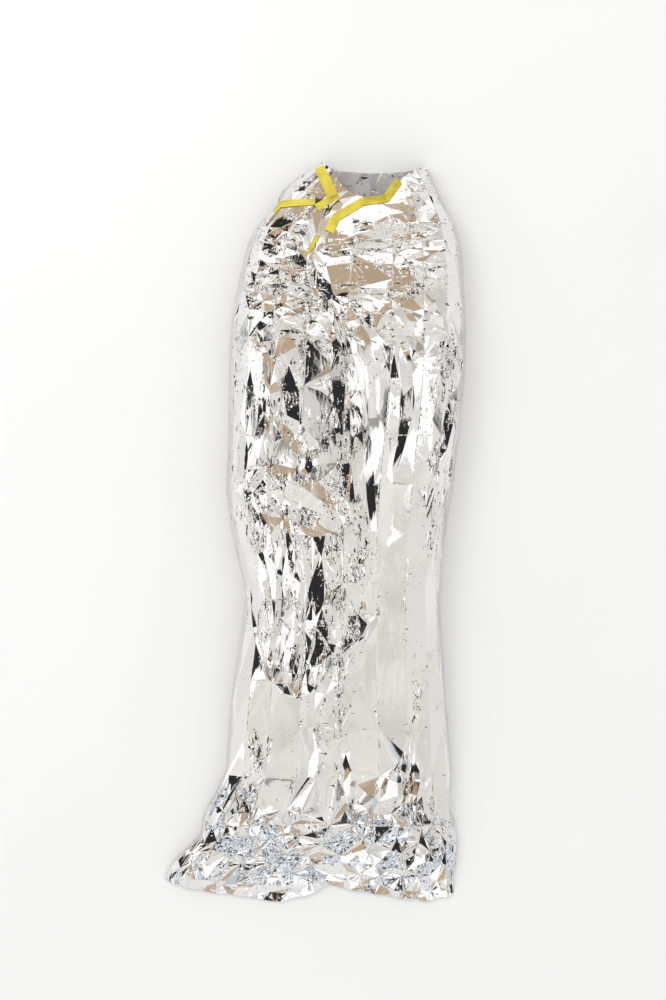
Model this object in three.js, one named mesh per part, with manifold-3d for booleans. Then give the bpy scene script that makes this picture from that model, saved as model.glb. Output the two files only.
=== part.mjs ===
// Emergency sleeping bag of metallised film, lying on its back with its mouth at +Y.
// One film bag, sealed across the foot and open at the mouth, with a coloured tape round the mouth.
// Millimetres, +Z up. The origin is on the floor, under the middle of the bag's box.

import * as THREE from "three";
import Module from "manifold-3d";
import { mergeVertices } from "three/addons/utils/BufferGeometryUtils.js";

// Driving dimensions
const FILM = 2; // wall of the bag, thickened from the real film so that it is a solid
const FOOT_LIP = 6; // height of the sealed foot edge
const FOOT_LEAST = 18; // least loft of the film behind the seal
const FOOT_OPENING = 40; // length over which the film rises from the seal to its loft
const CLEAR_INSIDE = 1; // least room between the inner faces of front and back
const TAPE_THICK = 1.2;
const TAPE_GAP = 0.4; // between the tape and the film that it is stuck to
const TAPE_WIDTH = 25;

// Resolution of the front face
const COLUMNS = 40; // round the girth, four to each packing panel
const ROW_BANDS = [
  { upTo: 0.19, rows: 15 }, // the crumpled foot
  { upTo: 0.5, rows: 16 }, // legs
  { upTo: 1, rows: 32 }, // hips, chest and collar
];
const SEALED_ROWS = 2; // rows at the foot where front and back are one
const BACK_MOUTH_STEPS = 16;
const LINE_STEPS = 14; // straight steps of a curved fold line

// The packing creases that the film keeps from its pouch
const PACK_PANELS = 10; // across the front
const PACK_RISE = 5;
const PACK_LENGTH = 105; // from one cross crease to the next
const PACK_CROSS_RISE = 1;

const SIDE_POWER = 0.88; // power of the girth's cosine: 1 is an ellipse, less is squarer
const LOFT_POWER = 0.45; // power of the girth's sine: less is flatter on top
const EDGE_EASE = 0.8; // how soon folds reach their full height from the side edges
const FOLD_FADE = 0.3; // share of a fold's length over which each end dies away
const FOLD_POINT = 0.3; // share of a fold's width that is left at its ends

// Outline and loft by station, from the foot to the mouth
const STATIONS = [
  { y: -804, left: -330, right: 304, crown: 9 },
  { y: -756, left: -330, right: 302, crown: 22 },
  { y: -722, left: -313, right: 308, crown: 31 },
  { y: -690, left: -283, right: 311, crown: 38 },
  { y: -657, left: -250, right: 309, crown: 45 },
  { y: -624, left: -247, right: 304, crown: 52 },
  { y: -590, left: -232, right: 286, crown: 59 },
  { y: -560, left: -213, right: 295, crown: 65 },
  { y: -515, left: -194, right: 297, crown: 74 },
  { y: -460, left: -191, right: 293, crown: 83 },
  { y: -363, left: -183, right: 284, crown: 98 },
  { y: -265, left: -170, right: 278, crown: 111 },
  { y: -135, left: -150, right: 271, crown: 123 },
  { y: -37, left: -174, right: 280, crown: 128 },
  { y: 28, left: -187, right: 289, crown: 130 },
  { y: 93, left: -195, right: 300, crown: 132 },
  { y: 190, left: -191, right: 311, crown: 134 },
  { y: 290, left: -189, right: 322, crown: 136 },
  { y: 387, left: -187, right: 330, crown: 138 },
  { y: 450, left: -183, right: 328, crown: 138 },
  { y: 500, left: -178, right: 326, crown: 134 },
  { y: 550, left: -167, right: 324, crown: 127 },
  { y: 615, left: -152, right: 320, crown: 116 },
  { y: 648, left: -141, right: 311, crown: 108 },
  { y: 680, left: -120, right: 302, crown: 99 },
  { y: 713, left: -87, right: 283, crown: 90 },
  { y: 746, left: -74, right: 267, crown: 82 },
  { y: 778, left: -37, right: 252, crown: 76 },
  { y: 804, left: 7, right: 246, crown: 72 },
];

// Plan edges of the front, from its left side (-1) to its right side (1)
const FOOT_EDGE = [
  { side: -1, y: -756 },
  { side: -0.93, y: -768 },
  { side: -0.77, y: -778 },
  { side: -0.6, y: -790 },
  { side: -0.35, y: -798 },
  { side: -0.18, y: -804 },
  { side: -0.05, y: -796 },
  { side: 0.13, y: -768 },
  { side: 0.3, y: -780 },
  { side: 0.6, y: -794 },
  { side: 0.8, y: -804 },
  { side: 0.95, y: -798 },
  { side: 1, y: -784 },
];
const MOUTH_EDGE = [
  { side: -1, y: 804 },
  { side: -0.7, y: 793 },
  { side: -0.42, y: 774 },
  { side: -0.17, y: 739 },
  { side: -0.06, y: 728 },
  { side: 0.02, y: 722 },
  { side: 0.24, y: 717 },
  { side: 0.41, y: 741 },
  { side: 0.55, y: 765 },
  { side: 0.76, y: 787 },
  { side: 1, y: 797 },
];
const BACK_MOUTH_SAG = 14; // how far the back's mouth edge dips behind the neck

// Main folds: a tent along the curve from (x1, y1) through (xm, ym) to (x2, y2).
// rise is its height, or its depth if negative; left and right are its half widths, seen along the curve.
const FOLDS = [
  // right shoulder and breast, swept from the neck
  { x1: 159, y1: 698, xm: 211, ym: 733, x2: 250, y2: 776, rise: 5, left: 30, right: 34 },
  { x1: 87, y1: 646, xm: 196, ym: 661, x2: 293, y2: 680, rise: -6, left: 26, right: 24 },
  { x1: 60, y1: 618, xm: 180, ym: 638, x2: 300, y2: 660, rise: 5, left: 24, right: 22 },
  { x1: 33, y1: 596, xm: 163, ym: 602, x2: 285, y2: 622, rise: -5, left: 18, right: 24 },
  { x1: 178, y1: 560, xm: 235, ym: 578, x2: 300, y2: 586, rise: 6, left: 26, right: 34 },
  { x1: 180, y1: 600, xm: 235, ym: 520, x2: 285, y2: 440, rise: 5, left: 34, right: 30 },
  { x1: 54, y1: 505, xm: 120, ym: 499, x2: 190, y2: 512, rise: -5, left: 26, right: 30 },
  { x1: 65, y1: 480, xm: 130, ym: 470, x2: 205, y2: 452, rise: 5, left: 34, right: 34 },
  { x1: 150, y1: 511, xm: 180, ym: 450, x2: 209, y2: 387, rise: 5, left: 24, right: 24 },
  { x1: 211, y1: 472, xm: 259, ym: 441, x2: 300, y2: 409, rise: 5, left: 26, right: 24 },
  { x1: 100, y1: 498, xm: 141, ym: 398, x2: 180, y2: 289, rise: 6, left: 30, right: 32 },
  // left shoulder and breast
  { x1: -124, y1: 667, xm: -54, ym: 646, x2: -7, y2: 607, rise: 6, left: 26, right: 26 },
  { x1: -137, y1: 611, xm: -65, ym: 589, x2: -7, y2: 554, rise: -7, left: 24, right: 26 },
  { x1: -150, y1: 567, xm: -72, ym: 546, x2: -2, y2: 524, rise: 6, left: 26, right: 26 },
  { x1: -150, y1: 524, xm: -65, ym: 507, x2: 7, y2: 493, rise: -6, left: 26, right: 26 },
  { x1: -141, y1: 480, xm: -65, ym: 467, x2: 11, y2: 472, rise: 6, left: 30, right: 30 },
  { x1: -130, y1: 404, xm: -76, ym: 415, x2: -7, y2: 463, rise: -5, left: 34, right: 34 },
  // wrap at the neck and the deep valley down the middle
  { x1: 65, y1: 739, xm: 15, ym: 676, x2: -13, y2: 585, rise: -10, left: 24, right: 24 },
  { x1: -7, y1: 600, xm: 15, ym: 496, x2: 54, y2: 420, rise: -14, left: 32, right: 30 },
  { x1: 41, y1: 461, xm: 72, ym: 289, x2: 74, y2: 70, rise: -18, left: 40, right: 34 },
  // right front panel, lapped over the valley
  { x1: 35, y1: 500, xm: 83, ym: 402, x2: 113, y2: 254, rise: 11, left: 36, right: 26 },
  { x1: 107, y1: 293, xm: 130, ym: 137, x2: 143, y2: -59, rise: 9, left: 34, right: 24 },
  { x1: 150, y1: 409, xm: 180, ym: 311, x2: 159, y2: 111, rise: -4, left: 26, right: 24 },
  { x1: 185, y1: 441, xm: 211, ym: 333, x2: 189, y2: 180, rise: 4, left: 28, right: 28 },
  { x1: 280, y1: 435, xm: 285, ym: 289, x2: 254, y2: 130, rise: -11, left: 22, right: 24 },
  { x1: 259, y1: 150, xm: 263, ym: 50, x2: 250, y2: -59, rise: -6, left: 24, right: 22 },
  // left thigh, creased round a knee point, and the belly ridge
  { x1: -117, y1: 413, xm: -102, ym: 322, x2: -89, y2: 241, rise: 7, left: 26, right: 26 },
  { x1: -96, y1: 257, xm: -115, ym: 170, x2: -141, y2: 93, rise: 7, left: 26, right: 26 },
  { x1: -91, y1: 246, xm: -33, ym: 202, x2: 7, y2: 111, rise: -4, left: 26, right: 26 },
  { x1: -176, y1: 102, xm: -54, ym: 107, x2: 72, y2: 22, rise: 4, left: 30, right: 34 },
  { x1: -117, y1: 46, xm: -54, ym: 30, x2: 24, y2: 2, rise: -7, left: 26, right: 22 },
  // long pleats down the left leg, gathered towards the hem of the upper fold
  { x1: -178, y1: 89, xm: -150, ym: -80, x2: -111, y2: -270, rise: -6, left: 18, right: 14 },
  { x1: -146, y1: 72, xm: -115, ym: -102, x2: -91, y2: -267, rise: 12, left: 15, right: 32 },
  { x1: -63, y1: 28, xm: -72, ym: -146, x2: -91, y2: -289, rise: -9, left: 26, right: 14 },
  { x1: -33, y1: -59, xm: -41, ym: -189, x2: -59, y2: -320, rise: 12, left: 15, right: 30 },
  { x1: 15, y1: -50, xm: -20, ym: -189, x2: -48, y2: -346, rise: -9, left: 26, right: 14 },
  { x1: 48, y1: -124, xm: 24, ym: -233, x2: -4, y2: -339, rise: 12, left: 16, right: 34 },
  // hem of the upper fold, and the diagonal ridge that runs from it to the floor
  { x1: -117, y1: -272, xm: -39, ym: -341, x2: 48, y2: -261, rise: 11, left: 40, right: 14 },
  { x1: 24, y1: -283, xm: 80, ym: -222, x2: 130, y2: -180, rise: 6, left: 38, right: 14 },
  { x1: 154, y1: -165, xm: 43, ym: -352, x2: -7, y2: -526, rise: 6, left: 34, right: 26 },
  // last folds above the bunched foot
  { x1: 80, y1: -628, xm: 124, ym: -570, x2: 170, y2: -511, rise: 7, left: 14, right: 15 },
  { x1: 193, y1: -470, xm: 189, ym: -540, x2: 202, y2: -607, rise: -7, left: 14, right: 14 },
  { x1: 217, y1: -460, xm: 224, ym: -540, x2: 215, y2: -598, rise: 7, left: 14, right: 14 },
  { x1: 59, y1: -461, xm: 76, ym: -515, x2: 70, y2: -580, rise: 5, left: 16, right: 14 },
];

// Peaks and hollows of the crumpled foot: pyramids of a few sides
const CRUMPLES = [
  { x: -250, y: -707, rise: 26, reach: 75, sides: 4, turn: 0.3 },
  { x: -290, y: -748, rise: 16, reach: 50, sides: 3, turn: 0.9 },
  { x: -167, y: -657, rise: 28, reach: 75, sides: 5, turn: 0.1 },
  { x: -200, y: -580, rise: 14, reach: 50, sides: 4, turn: 0.5 },
  { x: -102, y: -710, rise: 22, reach: 65, sides: 4, turn: 1.1 },
  { x: -152, y: -765, rise: 18, reach: 60, sides: 5, turn: 0.6 },
  { x: -65, y: -610, rise: 24, reach: 65, sides: 3, turn: 0.2 },
  { x: -26, y: -768, rise: 18, reach: 55, sides: 4, turn: 0.7 },
  { x: 15, y: -667, rise: 30, reach: 70, sides: 5, turn: 0.4 },
  { x: 30, y: -752, rise: -20, reach: 46, sides: 4, turn: 0.2 },
  { x: 80, y: -718, rise: 26, reach: 62, sides: 4, turn: 0.9 },
  { x: 109, y: -580, rise: 24, reach: 60, sides: 3, turn: 0.5 },
  { x: 152, y: -678, rise: 28, reach: 62, sides: 5, turn: 0.8 },
  { x: 170, y: -768, rise: 18, reach: 52, sides: 4, turn: 0.1 },
  { x: 217, y: -594, rise: 26, reach: 58, sides: 4, turn: 0.6 },
  { x: 246, y: -700, rise: 26, reach: 60, sides: 5, turn: 0.3 },
  { x: 240, y: -768, rise: 20, reach: 52, sides: 3, turn: 0.8 },
  { x: 178, y: -526, rise: -16, reach: 50, sides: 4, turn: 0.4 },
];

// Tape runs that show between the folds of the mouth, as plan paths down the middle of the tape
const TAPE_RUNS = [
  {
    name: "mouth_tape_right",
    path: [[182, 758], [151, 713], [98, 715], [47, 682], [26, 642]],
  },
  { name: "mouth_tape_tuck", path: [[8, 640], [-4, 618], [-14, 598]] },
  {
    name: "mouth_tape_left",
    path: [[10, 792], [42, 728], [4, 700], [-72, 704], [-84, 690]],
  },
];
const TAPE_REACH_DOWN = 560; // rows below this y carry no tape
const TAPE_CUTTER_TOP = 400;

const FILM_LOOK = { color: 0xdedcd6, metalness: 1, roughness: 0.12 };
const TAPE_LOOK = { color: 0xe3d13c, metalness: 0, roughness: 0.6 };

// Straight-line reading of a table at the given key.
function readTable(table, key, at) {
  const last = table.length - 1;
  if (at <= table[0][key]) return table[0];
  if (at >= table[last][key]) return table[last];
  const above = table.findIndex((row) => row[key] > at);
  const [low, high] = [table[above - 1], table[above]];
  const share = (at - low[key]) / (high[key] - low[key]);
  const read = {};
  for (const name of Object.keys(low)) read[name] = THREE.MathUtils.lerp(low[name], high[name], share);
  return read;
}

// A fold's curve as short straight steps, each with the length run before it.
function foldLine({ x1, y1, xm, ym, x2, y2 }) {
  const [start, middle, end] = [[x1, y1], [xm, ym], [x2, y2]].map(([x, y]) => new THREE.Vector2(x, y));
  const control = middle.multiplyScalar(2).sub(start.clone().add(end).multiplyScalar(0.5));
  return new THREE.QuadraticBezierCurve(start, control, end).getPoints(LINE_STEPS);
}

const foldLines = FOLDS.map((fold) => ({ ...fold, line: foldLine(fold) }));

// Where a plan point lies on a line: its distance, signed to the left, and its share of the way along.
function placeOnLine(line, x, y) {
  let nearest = { gap: Infinity, along: 0 };
  for (let i = 0; i < line.length - 1; i++) {
    const [dx, dy] = [line[i + 1].x - line[i].x, line[i + 1].y - line[i].y];
    const [px, py] = [x - line[i].x, y - line[i].y];
    const share = THREE.MathUtils.clamp((px * dx + py * dy) / (dx * dx + dy * dy), 0, 1);
    const gap = Math.hypot(px - share * dx, py - share * dy);
    if (gap < Math.abs(nearest.gap))
      nearest = { gap: dx * py - dy * px >= 0 ? gap : -gap, along: (i + share) / (line.length - 1) };
  }
  return nearest;
}

// Height that the main folds add at a plan point.
function foldLift(x, y) {
  let lift = 0;
  for (const { line, rise, left, right } of foldLines) {
    const { gap, along } = placeOnLine(line, x, y);
    const fade = Math.min(1, along / FOLD_FADE, (1 - along) / FOLD_FADE);
    const width = (gap >= 0 ? left : right) * THREE.MathUtils.lerp(FOLD_POINT, 1, fade);
    lift += rise * fade * Math.max(0, 1 - Math.abs(gap) / width);
  }
  return lift;
}

// Height that the foot's crumples add: each is a pyramid, measured by its nearest side.
function crumpleLift(x, y) {
  let lift = 0;
  for (const { x: cx, y: cy, rise, reach, sides, turn } of CRUMPLES) {
    let out = 0;
    for (let i = 0; i < sides; i++) {
      const angle = turn + (i * 2 * Math.PI) / sides;
      out = Math.max(out, (x - cx) * Math.cos(angle) + (y - cy) * Math.sin(angle));
    }
    lift += rise * Math.max(0, 1 - out / reach);
  }
  return lift;
}

// Triangle wave between -0.5 and 0.5 with a crease at each whole number.
function zigzag(at) {
  return 2 * Math.abs(at / 2 - Math.floor(at / 2) - 0.5) - 0.5;
}

// Height of the packing creases at a share of the girth and a length.
function packLift(girth, y) {
  return PACK_RISE * zigzag(girth * PACK_PANELS) + PACK_CROSS_RISE * zigzag(y / PACK_LENGTH);
}

// A point of the front's outer face: girth runs 0 to 1 from left to right, along 0 to 1 from foot to mouth.
function frontPoint(girth, along) {
  const angle = Math.PI * (1 - girth);
  const side = Math.sign(Math.cos(angle)) * Math.abs(Math.cos(angle)) ** SIDE_POWER;
  const lift = Math.max(0, Math.sin(angle)) ** LOFT_POWER;
  const footY = readTable(FOOT_EDGE, "side", side).y;
  const mouthY = readTable(MOUTH_EDGE, "side", side).y;
  const y = THREE.MathUtils.lerp(footY, mouthY, along);
  const { left, right, crown } = readTable(STATIONS, "y", y);
  const x = THREE.MathUtils.lerp(left, right, (side + 1) / 2);
  const ease = lift ** EDGE_EASE;
  const shaped = crown * lift + ease * (foldLift(x, y) + crumpleLift(x, y) + packLift(girth, y));
  const open = THREE.MathUtils.smoothstep(y - footY, 0, FOOT_OPENING);
  const lofted = Math.max(ease * FOOT_LEAST, shaped);
  return new THREE.Vector3(x, y, THREE.MathUtils.lerp(ease * FOOT_LIP, lofted, open));
}

// Shares of the way from foot to mouth at which the rows of the front lie.
function rowShares() {
  const shares = [0];
  let from = 0;
  for (const { upTo, rows } of ROW_BANDS) {
    for (let i = 1; i <= rows; i++) shares.push(THREE.MathUtils.lerp(from, upTo, i / rows));
    from = upTo;
  }
  return shares;
}

const frontGrid = rowShares().map((along) =>
  Array.from({ length: COLUMNS + 1 }, (_, column) => frontPoint(column / COLUMNS, along)),
);

// Each square of the front is cut along the diagonal that climbs less, so that creases run clean.
const frontLeans = frontGrid.slice(1).map((upper, i) =>
  upper.slice(1).map((corner, j) => {
    const lower = frontGrid[i];
    return Math.abs(lower[j + 1].z - upper[j].z) < Math.abs(corner.z - lower[j].z);
  }),
);

// Outward direction of the front grid at a row and column.
function gridNormal(grid, row, column) {
  const across = new THREE.Vector3().subVectors(
    grid[row][Math.min(column + 1, COLUMNS)],
    grid[row][Math.max(column - 1, 0)],
  );
  const along = new THREE.Vector3().subVectors(
    grid[Math.min(row + 1, grid.length - 1)][column],
    grid[Math.max(row - 1, 0)][column],
  );
  return across.cross(along).normalize();
}

// The inner face of the front: the outer one moved in by the film's thickness.
function innerPoint(row, column) {
  const outer = frontGrid[row][column];
  if (column === 0) return new THREE.Vector3(outer.x + FILM, outer.y, FILM);
  if (column === COLUMNS) return new THREE.Vector3(outer.x - FILM, outer.y, FILM);
  const inner = outer.clone().addScaledVector(gridNormal(frontGrid, row, column), -FILM);
  inner.z = Math.max(inner.z, FILM + CLEAR_INSIDE);
  return inner;
}

// Collects the points and triangles of one closed surface.
class Surface {
  constructor() {
    this.points = [];
    this.triangles = [];
  }

  addPoint({ x, y, z }) {
    this.points.push(x, y, z);
    return this.points.length / 3 - 1;
  }

  // A band between two rows of point numbers, facing out to the right of lower, or turned.
  addBand(lower, upper, turned = false) {
    for (let i = 0; i < lower.length - 1; i++)
      this.addQuad([lower[i], lower[i + 1], upper[i + 1], upper[i]], false, turned);
  }

  // A grid of point numbers, facing up or turned to face down. leans tells which diagonal cuts each square.
  addGrid(rows, leans, turned) {
    for (let i = 0; i < rows.length - 1; i++)
      for (let j = 0; j < rows[i].length - 1; j++)
        this.addQuad([rows[i][j], rows[i][j + 1], rows[i + 1][j + 1], rows[i + 1][j]], leans[i][j], turned);
  }

  addQuad([a, b, c, d], leansLeft, turned) {
    const halves = leansLeft ? [[a, b, d], [b, c, d]] : [[a, b, c], [a, c, d]];
    for (const [p, q, r] of halves) this.addTriangle(p, turned ? r : q, turned ? q : r);
  }

  // Leaves out the triangles that shrink to a line at the side edges.
  addTriangle(a, b, c) {
    if (a !== b && b !== c && c !== a) this.triangles.push(a, b, c);
  }

  // A flat face inside a ring of point numbers, facing up or down.
  addFlatFace(ring, facesUp) {
    const contour = ring.map((i) => new THREE.Vector2(this.points[3 * i], this.points[3 * i + 1]));
    for (const [a, b, c] of THREE.ShapeUtils.triangulateShape(contour, []))
      if (facesUp) this.addTriangle(ring[a], ring[b], ring[c]);
      else this.addTriangle(ring[a], ring[c], ring[b]);
  }

  geometry() {
    const made = new THREE.BufferGeometry();
    made.setAttribute("position", new THREE.Float32BufferAttribute(this.points, 3));
    made.setIndex(this.triangles);
    made.computeVertexNormals();
    return made;
  }
}

// The back's mouth edge between its two corners, at one height.
function backMouthPoints(leftCorner, rightCorner, z) {
  return Array.from({ length: BACK_MOUTH_STEPS - 1 }, (_, i) => {
    const share = (i + 1) / BACK_MOUTH_STEPS;
    const point = new THREE.Vector3().lerpVectors(leftCorner, rightCorner, share);
    return point.set(point.x, point.y - BACK_MOUTH_SAG * Math.sin(Math.PI * share), z);
  });
}

// One face of the bag, outer or inner: the folded front, the flat back and the wall at the foot.
function addFace(surface, grid, leans, floor, outward) {
  const rows = grid.map((row) => row.map((point) => surface.addPoint(point)));
  surface.addGrid(rows, leans, !outward);
  const footBack = rows[0].map((corner, column) =>
    column % COLUMNS ? surface.addPoint(grid[0][column].clone().setZ(floor)) : corner,
  );
  surface.addBand(footBack, rows[0], !outward);
  const top = grid[grid.length - 1];
  const [leftCorner, rightCorner] = [rows[rows.length - 1][0], rows[rows.length - 1][COLUMNS]];
  const backMouth = backMouthPoints(top[0], top[COLUMNS], floor).map((point) => surface.addPoint(point));
  const leftSide = rows.map((row) => row[0]);
  const rightSide = rows.map((row) => row[COLUMNS]).reverse();
  surface.addFlatFace(
    [...leftSide, ...backMouth, ...rightSide, ...footBack.slice(1, COLUMNS).reverse()],
    !outward,
  );
  return { mouth: rows[rows.length - 1], backMouth: [leftCorner, ...backMouth, rightCorner] };
}

// The whole bag as one closed shell with an open mouth.
function filmBag() {
  const surface = new Surface();
  const outer = addFace(surface, frontGrid, frontLeans, 0, true);
  const innerGrid = frontGrid
    .map((row, i) => row.map((_, column) => innerPoint(i, column)))
    .slice(SEALED_ROWS);
  const inner = addFace(surface, innerGrid, frontLeans.slice(SEALED_ROWS), FILM, false);
  surface.addBand(outer.mouth, inner.mouth);
  surface.addBand(inner.backMouth, outer.backMouth);
  return surface.geometry();
}

// The film's own front face near the mouth, lifted off it as a slab that tape is cut from.
function tapeSlab() {
  const from = frontGrid.findIndex((row) => row[COLUMNS / 2].y > TAPE_REACH_DOWN);
  const rows = frontGrid.slice(from).map((row) => row.slice(1, COLUMNS));
  const leans = frontLeans.slice(from).map((row) => row.slice(1));
  const surface = new Surface();
  const sheet = (lift) =>
    rows.map((row) => row.map((p) => surface.addPoint({ x: p.x, y: p.y, z: p.z + lift })));
  const [under, over] = [sheet(TAPE_GAP), sheet(TAPE_GAP + TAPE_THICK)];
  surface.addGrid(over, leans, false);
  surface.addGrid(under, leans, true);
  const rim = (sheetRows) => [
    ...sheetRows[0],
    ...sheetRows.slice(1).map((row) => row[row.length - 1]),
    ...sheetRows[sheetRows.length - 1].slice(0, -1).reverse(),
    ...sheetRows.slice(0, -1).map((row) => row[0]).reverse(),
  ];
  surface.addBand(rim(under), rim(over));
  return surface.geometry();
}

// A standing prism over the plan band that a tape run covers.
function tapeCutter(path) {
  const points = path.map(([x, y]) => new THREE.Vector2(x, y));
  const edge = (sign) =>
    points.map((point, i) => {
      const before = points[Math.max(i - 1, 0)];
      const after = points[Math.min(i + 1, points.length - 1)];
      const into = point.clone().sub(before).normalize();
      const out = after.clone().sub(point).normalize();
      const way = into.add(out).normalize();
      return new THREE.Vector2(-way.y, way.x).multiplyScalar((sign * TAPE_WIDTH) / 2).add(point);
    });
  const band = new THREE.Shape([...edge(-1), ...edge(1).reverse()]);
  return new THREE.ExtrudeGeometry(band, { depth: TAPE_CUTTER_TOP, bevelEnabled: false });
}

const wasm = await Module();
wasm.setup();

// A closed geometry as a solid that can be cut.
function solid(geometry) {
  const bare = geometry.clone();
  bare.deleteAttribute("normal");
  bare.deleteAttribute("uv");
  const merged = mergeVertices(bare);
  return new wasm.Manifold(
    new wasm.Mesh({
      numProp: 3,
      vertProperties: merged.attributes.position.array,
      triVerts: new Uint32Array(merged.index.array),
    }),
  );
}

// The geometry of a cut solid.
function cutGeometry(cut) {
  const { vertProperties, triVerts } = cut.getMesh();
  const made = new THREE.BufferGeometry();
  made.setAttribute("position", new THREE.BufferAttribute(vertProperties, 3));
  made.setIndex(new THREE.BufferAttribute(triVerts, 1));
  made.computeVertexNormals();
  return made;
}

function named(name, geometry, look) {
  const mesh = new THREE.Mesh(geometry, new THREE.MeshStandardMaterial(look));
  mesh.name = name;
  return mesh;
}

const bag = new THREE.Group();
bag.add(named("film_bag", filmBag(), FILM_LOOK));
const slab = solid(tapeSlab());
for (const { name, path } of TAPE_RUNS)
  bag.add(named(name, cutGeometry(slab.intersect(solid(tapeCutter(path)))), TAPE_LOOK));

export default bag;
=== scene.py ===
"""Emergency sleeping bag of metallised film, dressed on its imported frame."""

import logging
import math
from dataclasses import dataclass, field
from enum import Enum, IntEnum
from typing import Any

import bmesh
import bpy
import numpy as np
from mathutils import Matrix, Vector
from mathutils.bvhtree import BVHTree
from mathutils.geometry import delaunay_2d_cdt


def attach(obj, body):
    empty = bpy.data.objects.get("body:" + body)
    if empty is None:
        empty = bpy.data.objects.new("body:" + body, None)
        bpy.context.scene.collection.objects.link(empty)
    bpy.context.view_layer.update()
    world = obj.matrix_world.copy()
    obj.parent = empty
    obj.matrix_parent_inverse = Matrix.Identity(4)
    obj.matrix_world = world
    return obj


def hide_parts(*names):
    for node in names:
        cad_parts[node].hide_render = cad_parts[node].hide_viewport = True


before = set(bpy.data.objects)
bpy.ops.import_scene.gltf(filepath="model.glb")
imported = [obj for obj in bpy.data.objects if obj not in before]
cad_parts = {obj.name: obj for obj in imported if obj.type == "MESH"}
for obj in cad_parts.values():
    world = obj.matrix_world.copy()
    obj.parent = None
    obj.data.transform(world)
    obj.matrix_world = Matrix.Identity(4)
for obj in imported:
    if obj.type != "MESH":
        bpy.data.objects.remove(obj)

LOG = logging.getLogger("film_bag")
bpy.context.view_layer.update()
MM = 0.001
# edges that turn by more degrees than this are sharp
CREASE_ANGLE = 9.0
# points to a side of the repeating table of facet heights
LATTICE = 128
# row spacing of an even triangle grid, for points one step apart
ROW_STEP = 0.866
# how soon a point added inside a facet stands its full height off the facet's edges
EDGE_HOLD = 5.0
# keeps the normal of an empty facet from being divided by 0
TINY = 1e-9
# flat places nearer than this are one place, and the triangulation fills its convex hull
WELD_REACH = 1e-4
FILL_HULL = 0

Array = np.ndarray
Socket = bpy.types.NodeSocket
Span = tuple[float, float]
Triple = tuple[float, float, float]
Colour = tuple[float, float, float]
Joins = list[tuple[int, int]]


class Shading(Enum):
    """How a piece's faces meet."""

    FLAT = "flat"
    CREASED = "creased"


class Level(IntEnum):
    """A size of facet, by its place among a zone's heights."""

    COARSE = 0
    MIDDLE = 1
    FINE = 2


class MixSocket(IntEnum):
    """Numbers of the colour sockets of a mix node."""

    RESULT = 2
    A = 6
    B = 7


class Seed(IntEnum):
    """Seeds of the chance draws, by what each of them places or lifts."""

    HEIGHTS = 5
    PACKING = 7
    PANELS = 17
    FOOT_TUCKS = 23
    WALL_TUCKS = 27
    COARSE = 31
    MIDDLE = 32
    CALM = 33
    FINE = 34
    FOOT = 35
    BACK = 41
    FOOT_EDGE = 61
    BREAST_EDGE = 71
    PUSHES = 81
    SAGS = 83
    FOLDS = 100


@dataclass(frozen=True)
class Station:
    """One cross section: its place along the bag, its two sides and its loft, in millimetres."""

    y: float
    left: float
    right: float
    crown: float


@dataclass(frozen=True)
class EdgePoint:
    """A point of the foot or mouth edge: side runs from -1, left, to 1, right; y is in millimetres."""

    side: float
    y: float


@dataclass(frozen=True)
class Fold:
    """A fold along a curve through three plan points, in millimetres.

    rise is its height, or its depth if negative; left and right are its half widths seen along the curve.
    lap is how far its crest leans over to the right of the curve.
    """

    x1: float
    y1: float
    xm: float
    ym: float
    x2: float
    y2: float
    rise: float
    left: float
    right: float
    lap: float = 0.0


@dataclass(frozen=True)
class Crumple:
    """A pyramid of a few sides in the bunched foot, in millimetres."""

    x: float
    y: float
    rise: float
    reach: float
    sides: int
    turn: float


@dataclass(frozen=True)
class Grain:
    """The run of the facets at a place along the bag, in millimetres.

    A scale under 1 draws them out along the bag, one over 1 across it.
    """

    y: float
    scale: float


@dataclass(frozen=True)
class Zone:
    """An oval of film with its own crumpling: heights of coarse, middle and fine facets, in millimetres."""

    x: float
    y: float
    wide: float
    long: float
    coarse: float
    middle: float
    fine: float

    def heights(self) -> Triple:
        """The three heights, in the order of their levels."""
        return self.coarse, self.middle, self.fine


STATIONS: tuple[Station, ...] = (
    Station(-804, -330, 304, 9),
    Station(-756, -330, 302, 22),
    Station(-722, -313, 308, 31),
    Station(-690, -283, 311, 38),
    Station(-657, -250, 309, 45),
    Station(-624, -247, 304, 52),
    Station(-590, -232, 286, 59),
    Station(-560, -213, 295, 65),
    Station(-515, -194, 297, 74),
    Station(-460, -191, 293, 83),
    Station(-363, -183, 284, 98),
    Station(-265, -170, 278, 111),
    Station(-135, -150, 271, 123),
    Station(-37, -174, 280, 128),
    Station(28, -187, 289, 130),
    Station(93, -195, 300, 132),
    Station(190, -191, 311, 134),
    Station(290, -189, 322, 136),
    Station(387, -187, 330, 138),
    Station(450, -183, 328, 138),
    Station(500, -178, 326, 134),
    Station(550, -167, 324, 127),
    Station(615, -152, 320, 116),
    Station(648, -141, 311, 108),
    Station(680, -120, 302, 99),
    Station(713, -87, 283, 90),
    Station(746, -74, 267, 82),
    Station(778, -37, 252, 76),
    Station(804, 7, 246, 72),
)

FOOT_EDGE: tuple[EdgePoint, ...] = (
    EdgePoint(-1, -756),
    EdgePoint(-0.93, -768),
    EdgePoint(-0.77, -778),
    EdgePoint(-0.6, -790),
    EdgePoint(-0.35, -798),
    EdgePoint(-0.18, -804),
    EdgePoint(-0.05, -796),
    EdgePoint(0.13, -768),
    EdgePoint(0.3, -780),
    EdgePoint(0.6, -794),
    EdgePoint(0.8, -804),
    EdgePoint(0.95, -798),
    EdgePoint(1, -784),
)

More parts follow.
